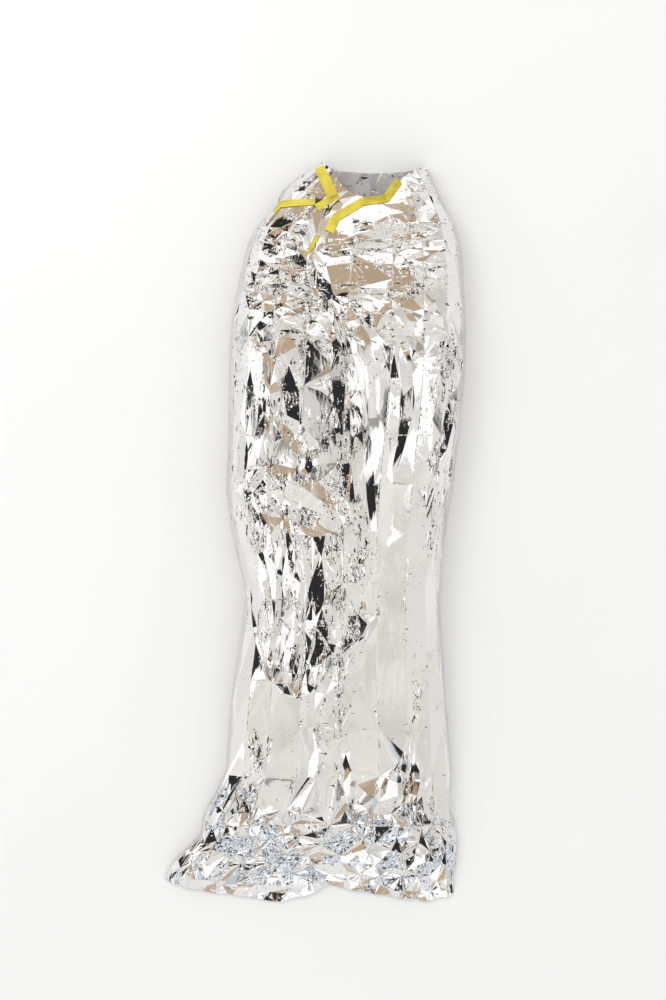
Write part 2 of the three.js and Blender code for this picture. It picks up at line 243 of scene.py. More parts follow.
MOUTH_EDGE: tuple[EdgePoint, ...] = (
    EdgePoint(-1, 804),
    EdgePoint(-0.7, 793),
    EdgePoint(-0.42, 774),
    EdgePoint(-0.17, 739),
    EdgePoint(-0.06, 728),
    EdgePoint(0.02, 722),
    EdgePoint(0.24, 717),
    EdgePoint(0.41, 741),
    EdgePoint(0.55, 765),
    EdgePoint(0.76, 787),
    EdgePoint(1, 797),
)

FOLDS: tuple[Fold, ...] = (
    # right shoulder and breast, swept from the neck
    Fold(159, 698, 211, 733, 250, 776, 5, 30, 34),
    Fold(87, 646, 196, 661, 293, 680, -6, 26, 24),
    Fold(60, 618, 180, 638, 300, 660, 5, 24, 22),
    Fold(33, 596, 163, 602, 285, 622, -5, 18, 24),
    Fold(178, 560, 235, 578, 300, 586, 6, 26, 34),
    Fold(180, 600, 235, 520, 285, 440, 5, 34, 30),
    Fold(54, 505, 120, 499, 190, 512, -5, 26, 30),
    Fold(65, 480, 130, 470, 205, 452, 5, 34, 34),
    Fold(150, 511, 180, 450, 209, 387, 5, 24, 24),
    Fold(211, 472, 259, 441, 300, 409, 5, 26, 24),
    Fold(100, 498, 141, 398, 180, 289, 6, 30, 32),
    # left shoulder and breast
    Fold(-124, 667, -54, 646, -7, 607, 6, 26, 26),
    Fold(-137, 611, -65, 589, -7, 554, -7, 24, 26),
    Fold(-150, 567, -72, 546, -2, 524, 6, 26, 26),
    Fold(-150, 524, -65, 507, 7, 493, -6, 26, 26),
    Fold(-141, 480, -65, 467, 11, 472, 6, 30, 30),
    Fold(-130, 404, -76, 415, -7, 463, -5, 34, 34),
    # wrap at the neck and the deep valley down the middle
    Fold(65, 739, 15, 676, -13, 585, -10, 24, 24),
    Fold(-7, 600, 15, 496, 54, 420, -14, 32, 30),
    Fold(41, 461, 72, 289, 74, 70, -18, 40, 34),
    # right front panel, lapped over the valley
    Fold(35, 500, 83, 402, 113, 254, 11, 36, 26, 8),
    Fold(107, 293, 130, 137, 143, -59, 9, 34, 24, 6),
    Fold(150, 409, 180, 311, 159, 111, -4, 26, 24),
    Fold(185, 441, 211, 333, 189, 180, 4, 28, 28),
    Fold(280, 435, 285, 289, 254, 130, -11, 22, 24),
    Fold(259, 150, 263, 50, 250, -59, -6, 24, 22),
    # left middle, creased round one point, and the ridge across the bag below it
    Fold(-117, 413, -102, 322, -89, 241, 7, 26, 26),
    Fold(-96, 257, -115, 170, -141, 93, 7, 26, 26),
    Fold(-91, 246, -33, 202, 7, 111, -4, 26, 26),
    Fold(-176, 102, -54, 107, 72, 22, 4, 30, 34),
    Fold(-117, 46, -54, 30, 24, 2, -7, 26, 22),
    # long pleats down the left, gathered towards the hem of the upper fold
    Fold(-178, 89, -150, -80, -111, -270, -6, 18, 14),
    Fold(-146, 72, -115, -102, -91, -267, 12, 15, 32),
    Fold(-63, 28, -72, -146, -91, -289, -9, 26, 13),
    Fold(-33, -59, -41, -189, -59, -320, 12, 15, 30),
    Fold(15, -50, -20, -189, -48, -346, -9, 26, 13),
    Fold(48, -124, 24, -233, -4, -339, 12, 16, 34),
    # hem of the upper fold, and the diagonal ridge that runs from it to the floor
    Fold(-117, -272, -39, -341, 48, -261, 11, 40, 12, 8),
    Fold(24, -283, 80, -222, 130, -180, 6, 38, 14, 6),
    Fold(154, -165, 43, -352, -7, -526, 6, 34, 26),
    # last folds above the bunched foot
    Fold(80, -628, 124, -570, 170, -511, 7, 13, 15),
    Fold(193, -470, 189, -540, 202, -607, -7, 11, 11),
    Fold(217, -460, 224, -540, 215, -598, 7, 11, 11),
    Fold(59, -461, 76, -515, 70, -580, 5, 16, 14),
)

CRUMPLES: tuple[Crumple, ...] = (
    Crumple(-250, -707, 26, 75, 4, 0.3),
    Crumple(-290, -748, 16, 50, 3, 0.9),
    Crumple(-167, -657, 28, 75, 5, 0.1),
    Crumple(-200, -580, 14, 50, 4, 0.5),
    Crumple(-102, -710, 22, 65, 4, 1.1),
    Crumple(-152, -765, 18, 60, 5, 0.6),
    Crumple(-65, -610, 24, 65, 3, 0.2),
    Crumple(-26, -768, 18, 55, 4, 0.7),
    Crumple(15, -667, 30, 70, 5, 0.4),
    Crumple(30, -752, -20, 46, 4, 0.2),
    Crumple(80, -718, 26, 62, 4, 0.9),
    Crumple(109, -580, 24, 60, 3, 0.5),
    Crumple(152, -678, 28, 62, 5, 0.8),
    Crumple(170, -768, 18, 52, 4, 0.1),
    Crumple(217, -594, 26, 58, 4, 0.6),
    Crumple(246, -700, 26, 60, 5, 0.3),
    Crumple(240, -768, 20, 52, 3, 0.8),
    Crumple(178, -526, -16, 50, 4, 0.4),
)

GRAIN: tuple[Grain, ...] = (
    Grain(-900, 1.0),
    Grain(-570, 1.0),
    Grain(-480, 0.42),
    Grain(330, 0.42),
    Grain(500, 1.8),
    Grain(900, 1.8),
)

CALM = Zone(0, 0, 1, 1, 0.8, 0.2, 0.0)
ZONES: tuple[Zone, ...] = (
    Zone(150, 560, 150, 70, 1.4, 0.6, 0.5),
    Zone(190, 670, 130, 60, 1.4, 0.5, 0.4),
    Zone(-70, 540, 110, 170, 2.2, 0.9, 0.9),
    Zone(60, 470, 80, 50, 2.0, 0.8, 0.8),
    Zone(50, 330, 55, 230, 2.0, 0.9, 0.9),
    Zone(-90, 300, 100, 170, 1.7, 0.6, 0.5),
    Zone(200, 330, 90, 150, 1.0, 0.25, 0.1),
    Zone(-50, 60, 120, 150, 1.6, 0.8, 0.8),
    Zone(-20, -200, 110, 120, 1.0, 0.4, 0.6),
    Zone(72, -80, 50, 150, 1.8, 0.9, 0.9),
    Zone(285, 250, 36, 220, 1.6, 0.8, 0.8),
    Zone(262, 60, 34, 130, 2.4, 1.2, 1.0),
    Zone(-180, 230, 26, 330, 1.2, 0.6, 0.5),
    Zone(-20, -675, 230, 90, 4.0, 2.4, 1.0),
    Zone(190, -690, 130, 110, 4.0, 2.4, 1.0),
    Zone(-200, -620, 90, 80, 3.0, 1.6, 0.9),
    Zone(-280, -735, 80, 60, 3.4, 0.6, 0.4),
    Zone(-110, -770, 160, 50, 2.0, 0.5, 0.3),
    Zone(110, -770, 220, 50, 2.0, 0.5, 0.3),
    Zone(58, -350, 14, 60, 0.8, 0.4, 0.6),
    Zone(16, -450, 14, 70, 0.8, 0.4, 0.6),
    Zone(-130, -500, 20, 80, 1.0, 0.6, 0.8),
    Zone(222, -340, 12, 110, 0.8, 0.3, 0.5),
    Zone(30, 740, 120, 60, 2.0, 0.8, 0.5),
    Zone(200, 760, 80, 50, 2.0, 0.8, 0.5),
)



def facets(u: Array, v: Array, seed: int) -> Array:
    """Random flat triangular facets on a lattice of unit sides.

    Args:
        u: First coordinates, in lattice units.
        v: Second coordinates, in lattice units.
        seed: Picks the heights.

    Returns:
        Heights between -1 and 1, straight within each facet.
    """
    heights = np.random.default_rng(seed).uniform(-1.0, 1.0, (LATTICE, LATTICE))
    skew_u = u - v / math.sqrt(3.0)
    skew_v = 2.0 * v / math.sqrt(3.0)
    i, j = np.floor(skew_u).astype(int), np.floor(skew_v).astype(int)
    a, b = skew_u - i, skew_v - j

    def corner(di: int, dj: int) -> Array:
        """Heights at one corner of each lattice cell."""
        return heights[(i + di) % LATTICE, (j + dj) % LATTICE]

    lower = corner(0, 0) * (1 - a - b) + corner(1, 0) * a + corner(0, 1) * b
    upper = corner(1, 1) * (a + b - 1) + corner(0, 1) * (1 - a) + corner(1, 0) * (1 - b)
    return np.where(a + b < 1.0, lower, upper)


def smooth_step(at: Array, low: float, high: float) -> Array:
    """Rises smoothly from 0 at low to 1 at high."""
    share = np.clip((at - low) / (high - low), 0.0, 1.0)
    return share * share * (3.0 - 2.0 * share)


def line_place(points: Array, x: Array, y: Array) -> tuple[Array, Array]:
    """Finds where plan points lie on a line of straight steps.

    Args:
        points: The line's points, one row each.
        x: Plan x of the points to place.
        y: Plan y of the points to place.

    Returns:
        Their distances, signed to the left of the line, and their shares of the way along it.
    """
    gap = np.full(x.shape, np.inf)
    along = np.zeros(x.shape)
    steps = len(points) - 1
    for i in range(steps):
        (x0, y0), (x1, y1) = points[i], points[i + 1]
        dx, dy = x1 - x0, y1 - y0
        px, py = x - x0, y - y0
        share = np.clip((px * dx + py * dy) / (dx * dx + dy * dy), 0.0, 1.0)
        away = np.hypot(px - share * dx, py - share * dy)
        signed = np.where(dx * py - dy * px >= 0.0, away, -away)
        nearer = away < np.abs(gap)
        gap = np.where(nearer, signed, gap)
        along = np.where(nearer, (i + share) / steps, along)
    return gap, along


def resample(corners: Array, step: float) -> Array:
    """Places points along a line, its ends included.

    Args:
        corners: One row for each corner of the line, with any values to carry along it.
        step: About how far apart the points are.

    Returns:
        One row for each point, with the same columns.
    """
    run = np.concatenate([[0.0], np.cumsum(np.linalg.norm(np.diff(corners, axis=0), axis=1))])
    at = np.linspace(0.0, run[-1], max(2, int(round(run[-1] / step)) + 1))
    return np.stack([np.interp(at, run, corners[:, i]) for i in range(corners.shape[1])], axis=1)


@dataclass
class FoldLine:
    """A fold laid out on the plan as a line of straight steps that wanders a little."""

    fold: Fold
    seed: int
    steps: int = 6
    taper_share: float = 0.3
    end_width: float = 0.3
    wander: float = 5.0
    points: Array = field(init=False)

    def __post_init__(self) -> None:
        """Bends the line through the fold's three points."""
        start = np.array([self.fold.x1, self.fold.y1], dtype=float)
        middle = np.array([self.fold.xm, self.fold.ym], dtype=float)
        end = np.array([self.fold.x2, self.fold.y2], dtype=float)
        control = 2.0 * middle - (start + end) / 2.0
        t = np.linspace(0.0, 1.0, self.steps + 1)[:, None]
        self.points = (1 - t) ** 2 * start + 2 * t * (1 - t) * control + t**2 * end
        rng = np.random.default_rng(self.seed)
        self.points[1:-1] += rng.uniform(-self.wander, self.wander, (self.steps - 1, 2))

    def taper(self, along: Array) -> Array:
        """Falls from 1 to 0 towards both ends."""
        return np.clip(np.minimum(along, 1.0 - along) / self.taper_share, 0.0, 1.0)

    def spread(self, along: Array) -> Array:
        """The share of its full width that the fold has along its way."""
        return self.end_width + (1.0 - self.end_width) * self.taper(along)

    def across(self) -> Array:
        """Unit directions to the left of the line at its points."""
        way = np.gradient(self.points, axis=0)
        way /= np.linalg.norm(way, axis=1, keepdims=True)
        return np.stack([-way[:, 1], way[:, 0]], axis=1)

    def creases(self) -> list[Array]:
        """The crest and the two toes, as plan lines."""
        share = np.linspace(0.0, 1.0, self.steps + 1)
        width = self.spread(share)[:, None] * self.across()
        return [self.points, self.points + self.fold.left * width, self.points - self.fold.right * width]

    def lift(self, x: Array, y: Array) -> tuple[Array, Array, Array]:
        """Works out what the fold adds at plan points.

        Args:
            x: Plan x of the points.
            y: Plan y of the points.

        Returns:
            The height that it adds, and how far it shifts them in x and in y.
        """
        gap, along = line_place(self.points, x, y)
        width = np.where(gap >= 0.0, self.fold.left, self.fold.right) * self.spread(along)
        tent = np.maximum(0.0, 1.0 - np.abs(gap) / width) * self.taper(along)
        side = self.across()[len(self.points) // 2] * -self.fold.lap
        return self.fold.rise * tent, side[0] * tent, side[1] * tent


def fold_lines() -> list[FoldLine]:
    """All folds of the bag, laid out on the plan."""
    return [FoldLine(fold, Seed.FOLDS + i) for i, fold in enumerate(FOLDS)]


@dataclass(frozen=True)
class Dent:
    """One kind of dent in the side walls, in millimetres.

    arc and y are the size of its facets round and along the bag; start and end are the stretches up the
    wall over which it fades in and out.
    """

    depth: float
    arc: float
    y: float
    start: Span
    end: Span

    def share(self, from_side: Array) -> Array:
        """How far the dent shows at arcs from the bag's side."""
        return smooth_step(from_side, *self.start) * (1.0 - smooth_step(from_side, *self.end))

    def facets(self, arc: Array, y: Array, seed: int) -> Array:
        """Uneven depths, from -1 to 1."""
        return facets(arc / self.arc, y / self.y, seed)


@dataclass
class FilmShape:
    """The folded surface of the bag, in millimetres.

    A place on the front is an arc, from the left side over the front to the right side, and a length y.
    """

    girth: float = 640.0
    side_power: float = 0.88
    loft_power: float = 0.45
    edge_ease: float = 0.8
    ragged: float = 4.0
    ragged_step: float = 17.0
    grain_step: float = 2.0
    zone_fade: Span = (0.75, 1.2)
    calm_paths: tuple[Array, ...] = ()
    calm_reach: Span = (13.0, 26.0)
    calm_keep: float = 0.4
    pack_panels: int = 10
    pack_rise: float = 3.2
    pack_length: float = 105.0
    pack_cross_rise: float = 0.7
    pack_table: int = 32
    pack_middle: float = 10.0
    wall_calm: float = 0.45
    wall_busy: Span = (-150.0, 60.0)
    wall_foot: Span = (-640.0, -560.0)
    push: Dent = Dent(11.0, 30.0, 52.0, (0.0, 10.0), (45.0, 95.0))
    sag: Dent = Dent(12.0, 60.0, 80.0, (8.0, 30.0), (70.0, 130.0))
    seal_lead: float = 6.0
    seal_reach: float = 36.0
    seal_rise: float = 3.0
    least_loft: float = 8.0
    floor_gap: float = 1.0
    lines: list[FoldLine] = field(default_factory=fold_lines)

    def section(self, arc: Array) -> tuple[Array, Array]:
        """Places arcs on a cross section.

        Args:
            arc: Places round the girth.

        Returns:
            Side, from -1 to 1, and lift, from 0 to 1.
        """
        angle = math.pi * (1.0 - arc / self.girth)
        cosine, sine = np.cos(angle), np.maximum(0.0, np.sin(angle))
        return np.sign(cosine) * np.abs(cosine) ** self.side_power, sine**self.loft_power

    def edges(self, arc: Array) -> tuple[Array, Array]:
        """Finds the ends of the film.

        Args:
            arc: Places round the girth.

        Returns:
            Length y of the foot edge and of the mouth edge.
        """
        side, _ = self.section(arc)
        foot = np.interp(side, [p.side for p in FOOT_EDGE], [p.y for p in FOOT_EDGE])
        foot = foot + self.ragged * facets(arc / self.ragged_step, np.zeros(arc.shape), Seed.FOOT_EDGE)
        mouth = np.interp(side, [p.side for p in MOUTH_EDGE], [p.y for p in MOUTH_EDGE])
        return foot, mouth

    def station(self, y: Array) -> tuple[Array, Array, Array]:
        """Reads the cross sections.

        Args:
            y: Places along the bag.

        Returns:
            Left side, right side and loft.
        """
        at = [s.y for s in STATIONS]
        left = np.interp(y, at, [s.left for s in STATIONS])
        right = np.interp(y, at, [s.right for s in STATIONS])
        crown = np.interp(y, at, [s.crown for s in STATIONS])
        return left, right, crown

    def arc_at(self, x: Array, y: Array) -> Array:
        """Finds plan points inside the outline on the girth.

        Args:
            x: Plan x of the points.
            y: Plan y of the points.

        Returns:
            Their arcs.
        """
        left, right, _ = self.station(y)
        side = np.clip(2.0 * (x - left) / (right - left) - 1.0, -1.0, 1.0)
        cosine = np.sign(side) * np.abs(side) ** (1.0 / self.side_power)
        return self.girth * (1.0 - np.arccos(cosine) / math.pi)

    def plan_x(self, arc: Array, y: Array) -> Array:
        """Plan x of places on the front, before any fold leans over."""
        left, right, _ = self.station(y)
        return left + (right - left) * (self.section(arc)[0] + 1.0) / 2.0

    def grain(self, y: Array, back: bool = False) -> Array:
        """Scales lengths so that even facets on the scaled film follow its grain.

        Args:
            y: Places along the bag, or scaled ones.
            back: Whether scaled places are turned back.

        Returns:
            The scaled places, or those turned back.
        """
        at = np.arange(GRAIN[0].y, GRAIN[-1].y + self.grain_step / 4.0, self.grain_step)
        slope = np.interp(at, [g.y for g in GRAIN], [g.scale for g in GRAIN])
        scaled = np.concatenate([[0.0], np.cumsum((slope[1:] + slope[:-1]) / 2.0 * np.diff(at))])
        return np.interp(y, scaled, at) if back else np.interp(y, at, scaled)

    def zone_heights(self, x: Array, y: Array) -> tuple[Array, Array, Array]:
        """Blends the zones, calmed along the tape.

        Args:
            x: Plan x of the points.
            y: Plan y of the points.

        Returns:
            Heights of the coarse, middle and fine facets.
        """
        made = [np.full(x.shape, value) for value in CALM.heights()]
        for zone in ZONES:
            away = np.hypot((x - zone.x) / zone.wide, (y - zone.y) / zone.long)
            share = 1.0 - smooth_step(away, *self.zone_fade)
            for i, value in enumerate(zone.heights()):
                made[i] = np.maximum(made[i], value * share)
        calm = np.ones(x.shape)
        for path in self.calm_paths:
            gap, _ = line_place(path, x, y)
            calm = np.minimum(calm, smooth_step(np.abs(gap), *self.calm_reach))
        coarse = made[Level.COARSE] * (self.calm_keep + (1.0 - self.calm_keep) * calm)
        return coarse, made[Level.MIDDLE] * calm, made[Level.FINE] * calm

    def crumples(self, x: Array, y: Array) -> Array:
        """Adds up the foot's pyramids.

        Args:
            x: Plan x of the points.
            y: Plan y of the points.

        Returns:
            Their heights.
        """
        lift = np.zeros(x.shape)
        for c in CRUMPLES:
            out = np.zeros(x.shape)
            for i in range(c.sides):
                angle = c.turn + i * 2.0 * math.pi / c.sides
                out = np.maximum(out, (x - c.x) * math.cos(angle) + (y - c.y) * math.sin(angle))
            lift += c.rise * np.maximum(0.0, 1.0 - out / c.reach)
        return lift

    def panels(self, arc: Array, y: Array) -> Array:
        """Lifts the packing creases unevenly, with straight film between them.

        Args:
            arc: Places round the girth.
            y: Places along the bag.

        Returns:
            The heights.
        """
        rng = np.random.default_rng(Seed.PANELS)
        rises = self.pack_rise * rng.uniform(-1.0, 1.0, (self.pack_table, 1))
        rises = rises + self.pack_cross_rise * rng.uniform(-1.0, 1.0, (self.pack_table, self.pack_table))
        u, v = arc / self.girth * self.pack_panels, y / self.pack_length + self.pack_middle
        i, j = np.floor(u).astype(int), np.floor(v).astype(int)
        a, b = u - i, v - j
        low = rises[i, j] * (1.0 - a) + rises[i + 1, j] * a
        high = rises[i, j + 1] * (1.0 - a) + rises[i + 1, j + 1] * a
        return low * (1.0 - b) + high * b

    def dents(self, arc: Array, y: Array) -> tuple[Array, Array]:
        """Dents the side walls.

        Args:
            arc: Places round the girth.
            y: Places along the bag.

        Returns:
            How far the walls are pushed in along x, and how far they sag.
        """
        from_side = np.minimum(arc, self.girth - arc)
        inward = np.where(arc < self.girth / 2.0, 1.0, -1.0)
        strong = self.wall_calm + (1.0 - self.wall_calm) * smooth_step(y, *self.wall_busy)
        strong = strong * smooth_step(y, *self.wall_foot)
        pushed = 0.5 + 0.5 * self.push.facets(arc, y, Seed.PUSHES)
        pushed = inward * self.push.depth * strong * self.push.share(from_side) * pushed
        sunk = np.maximum(0.0, self.sag.facets(arc, y, Seed.SAGS))
        return pushed, self.sag.depth * strong * self.sag.share(from_side) * sunk

    def front(self, arc: Array, y: Array, extra: Array) -> Array:
        """Points of the front.

        Args:
            arc: Places round the girth.
            y: Places along the bag.
            extra: Height to add to the folds at each place.

        Returns:
            One row of x, y and z for each place.
        """
        _, lift = self.section(arc)
        foot, _ = self.edges(arc)
        x = self.plan_x(arc, y)
        _, _, crown = self.station(y)
        ease = lift**self.edge_ease
        sealed = np.clip((y - foot + self.seal_lead) / self.seal_reach, 0.0, 1.0)
        rise = self.crumples(x, y) + self.panels(arc, y) + extra
        shift_x, shift_y = np.zeros(x.shape), np.zeros(x.shape)
        for line in self.lines:
            up, right, along = line.lift(x, y)
            rise, shift_x, shift_y = rise + up, shift_x + right, shift_y + along
        pushed, sunk = self.dents(arc, y)
        shaped = np.maximum(ease * self.least_loft, crown * lift + ease * rise - sunk)
        z = self.floor_gap + ease * self.seal_rise * (1.0 - sealed) + shaped * sealed
        lean = ease * sealed
        return np.stack([x + shift_x * lean + pushed, y + shift_y * lean, z], axis=-1)


@dataclass
class Net:
    """A triangulated sheet: its places on the flat film, its points in space and its triangles."""

    flat: Array
    points: Array
    triangles: Array

    def edges(self) -> Joins:
        """Each edge of the triangles once."""
        a, b, c = self.triangles.T
        pairs = np.sort(np.hstack([(a, b), (b, c), (c, a)]).T, axis=1)
        return [tuple(p) for p in np.unique(pairs, axis=0).tolist()]

    def faces_at(self, flat: Array) -> Array:
        """Finds the triangles under flat places.

        Args:
            flat: One row for each place.

        Returns:
            The number of each place's triangle, or -1.
        """
        tree = BVHTree.FromPolygons([(u, v, 0.0) for u, v in self.flat.tolist()], self.triangles.tolist())
        found = [tree.ray_cast((u, v, 1.0), (0.0, 0.0, -1.0))[2] for u, v in flat.tolist()]
        return np.array([-1 if face is None else face for face in found], dtype=int)

    def centres(self) -> Array:
        """Flat places in the middle of the triangles."""
        return self.flat[self.triangles].mean(axis=1)

    def finer(self, extra: Array, jitter: Array) -> "Net":
        """Adds creases inside the sheet's facets.

        Args:
            extra: Flat places of the new points.
            jitter: How far each new point stands off its facet, in millimetres.

        Returns:
            A sheet that keeps every edge of this one.
        """
        face = self.faces_at(extra)
        extra, jitter, corner = extra[face >= 0], jitter[face >= 0], self.triangles[face[face >= 0]]
        (ua, va), (ub, vb), (uc, vc) = (self.flat[corner[:, i]].T for i in range(3))
        u, v = extra.T
        area = (ub - ua) * (vc - va) - (uc - ua) * (vb - va)
        wb = ((u - ua) * (vc - va) - (uc - ua) * (v - va)) / area
        wc = ((ub - ua) * (v - va) - (u - ua) * (vb - va)) / area
        pa, pb, pc = (self.points[corner[:, i]] for i in range(3))
        normal = np.cross(pb - pa, pc - pa)
        normal /= np.linalg.norm(normal, axis=1, keepdims=True) + TINY
        inset = np.clip(EDGE_HOLD * np.minimum(np.minimum(wb, wc), 1.0 - wb - wc), 0.0, 1.0)
        off = normal * (jitter * inset)[:, None]
        placed = pa + (pb - pa) * wb[:, None] + (pc - pa) * wc[:, None] + off
        flat, points = np.vstack([self.flat, extra]), np.vstack([self.points, placed])
        kept, triangles, source = triangulate(flat, self.edges())
        made = Net(kept, points[source], triangles)
        made.triangles = triangles[self.faces_at(made.centres()) >= 0]
        return made


def triangulate(flat: Array, edges: Joins) -> tuple[Array, Array, Array]:
    """Triangulates flat places.

    Args:
        flat: One row for each place.
        edges: Pairs of places that stay joined.

    Returns:
        The places, with any crossing of two edges added, the triangles, and each place's number in flat,
        or -1.
    """
    places = [Vector(p) for p in flat.tolist()]
    made, _, faces, source, _, _ = delaunay_2d_cdt(places, edges, [], FILL_HULL, WELD_REACH, True)
    numbers = np.array([ids[0] if ids else -1 for ids in source])
    return np.array([(p.x, p.y) for p in made]), np.array([list(f) for f in faces]), numbers


def between(centres: Array, low: Array, high: Array) -> Array:
    """Whether flat places lie above one line and below another, both with rising first coordinates."""
    u, v = centres.T
    return (v > np.interp(u, low[:, 0], low[:, 1])) & (v < np.interp(u, high[:, 0], high[:, 1]))


@dataclass(frozen=True)
class Noise:
    """Cloudy noise: how many clouds there are to the unit, and how many finer layers lie on them."""

    scale: float
    detail: float


class Nodes:
    """Adds linked nodes to one shader tree."""

    def __init__(self, tree: bpy.types.NodeTree) -> None:
        """Empties the tree that the nodes go into."""
        self.tree = tree
        tree.nodes.clear()

    def add(self, kind: str, inputs: dict[Any, Any] | None = None, **settings: Any) -> bpy.types.Node:
        """Makes a node.

        Args:
            kind: Its type, without the ShaderNode prefix.
            inputs: Values or sockets for its inputs, by name or number.
            settings: Values for its own properties.

        Returns:
            The node.
        """
        node = self.tree.nodes.new(f"ShaderNode{kind}")
        for name, value in settings.items():
            setattr(node, name, value)
        for key, value in (inputs or {}).items():
            target = node.inputs[key]
            if isinstance(value, bpy.types.NodeSocket):
                self.tree.links.new(value, target)
            elif target.type == "RGBA":
                target.default_value = (*value, 1.0)
            else:
                target.default_value = value
        return node

    def place(self) -> Socket:
        """Places on the object, in metres."""
        return self.add("TexCoord").outputs["Object"]

    def part(self, vector: Socket, axis: str) -> Socket:
        """One coordinate of a vector."""
        return self.add("SeparateXYZ", {0: vector}).outputs[axis]

    def math(self, operation: str, a: Any, b: Any = 0.0) -> Socket:
        """The result of one sum on sockets or numbers."""
        return self.add("Math", {0: a, 1: b}, operation=operation).outputs[0]

    def vector(self, operation: str, a: Socket, b: Any = (0.0, 0.0, 0.0)) -> Socket:
        """The result of one sum on vectors."""
        return self.add("VectorMath", {0: a, 1: b}, operation=operation).outputs[0]

    def scaled(self, a: Socket, factor: Any) -> Socket:
        """A vector or a colour times a number."""
        return self.add("VectorMath", {0: a, "Scale": factor}, operation="SCALE").outputs[0]

    def noise(self, place: Socket, noise: Noise, output: str = "Fac", bend: float = 0.0) -> Socket:
        """Cloudy noise at places, as a value or as a colour."""
        inputs = {"Vector": place, "Scale": noise.scale, "Detail": noise.detail, "Distortion": bend}
        return self.add("TexNoise", inputs).outputs[output]

    def ramp(self, value: Socket, low: float, high: float, start: float = 0.0, end: float = 1.0) -> Socket:
        """A smooth change from start to end as value goes from low to high."""
        inputs = {"Value": value, "From Min": low, "From Max": high, "To Min": start, "To Max": end}
        return self.add("MapRange", inputs, interpolation_type="SMOOTHSTEP").outputs["Result"]

    def blend(self, share: Socket, a: Any, b: Any, label: str = "") -> Socket:
        """A colour between a and b."""
        inputs = {"Factor": share, MixSocket.A: a, MixSocket.B: b}
        return self.add("Mix", inputs, data_type="RGBA", label=label).outputs[MixSocket.RESULT]

    def surface(self, inputs: dict[str, Any]) -> None:
        """Ends a material's tree with its shader."""
        shader = self.add("BsdfPrincipled", inputs)
        self.add("OutputMaterial", {"Surface": shader.outputs[0]})


def new_material(name: str) -> tuple[bpy.types.Material, Nodes]:
    """Makes an empty material and the helper that adds its nodes."""
    made = bpy.data.materials.new(name)
    made.use_nodes = True
    return made, Nodes(made.node_tree)


@dataclass(frozen=True)
class Crinkle:
    """One layer of small shards, in cells to the metre each way.

    tilt is how far they lean, share how many of them show and painted_dark how many of those are painted
    dark, standing for shards that mirror the dark; low and high are where the layer starts and ends along
    the bag, in metres.
    """

    cells: Triple
    tilt: float
    share: float
    # share of the shards painted dark, as painted dark reflections
    painted_dark: float
    low: float
    high: float


@dataclass(frozen=True)
class FilmSockets:
    """What the film's looks are worked out from, as sockets."""

    place: Socket
    along: Socket
    clouds: Socket
    patches: Socket
    crumple: Socket
    normal: Socket
    inside: Socket


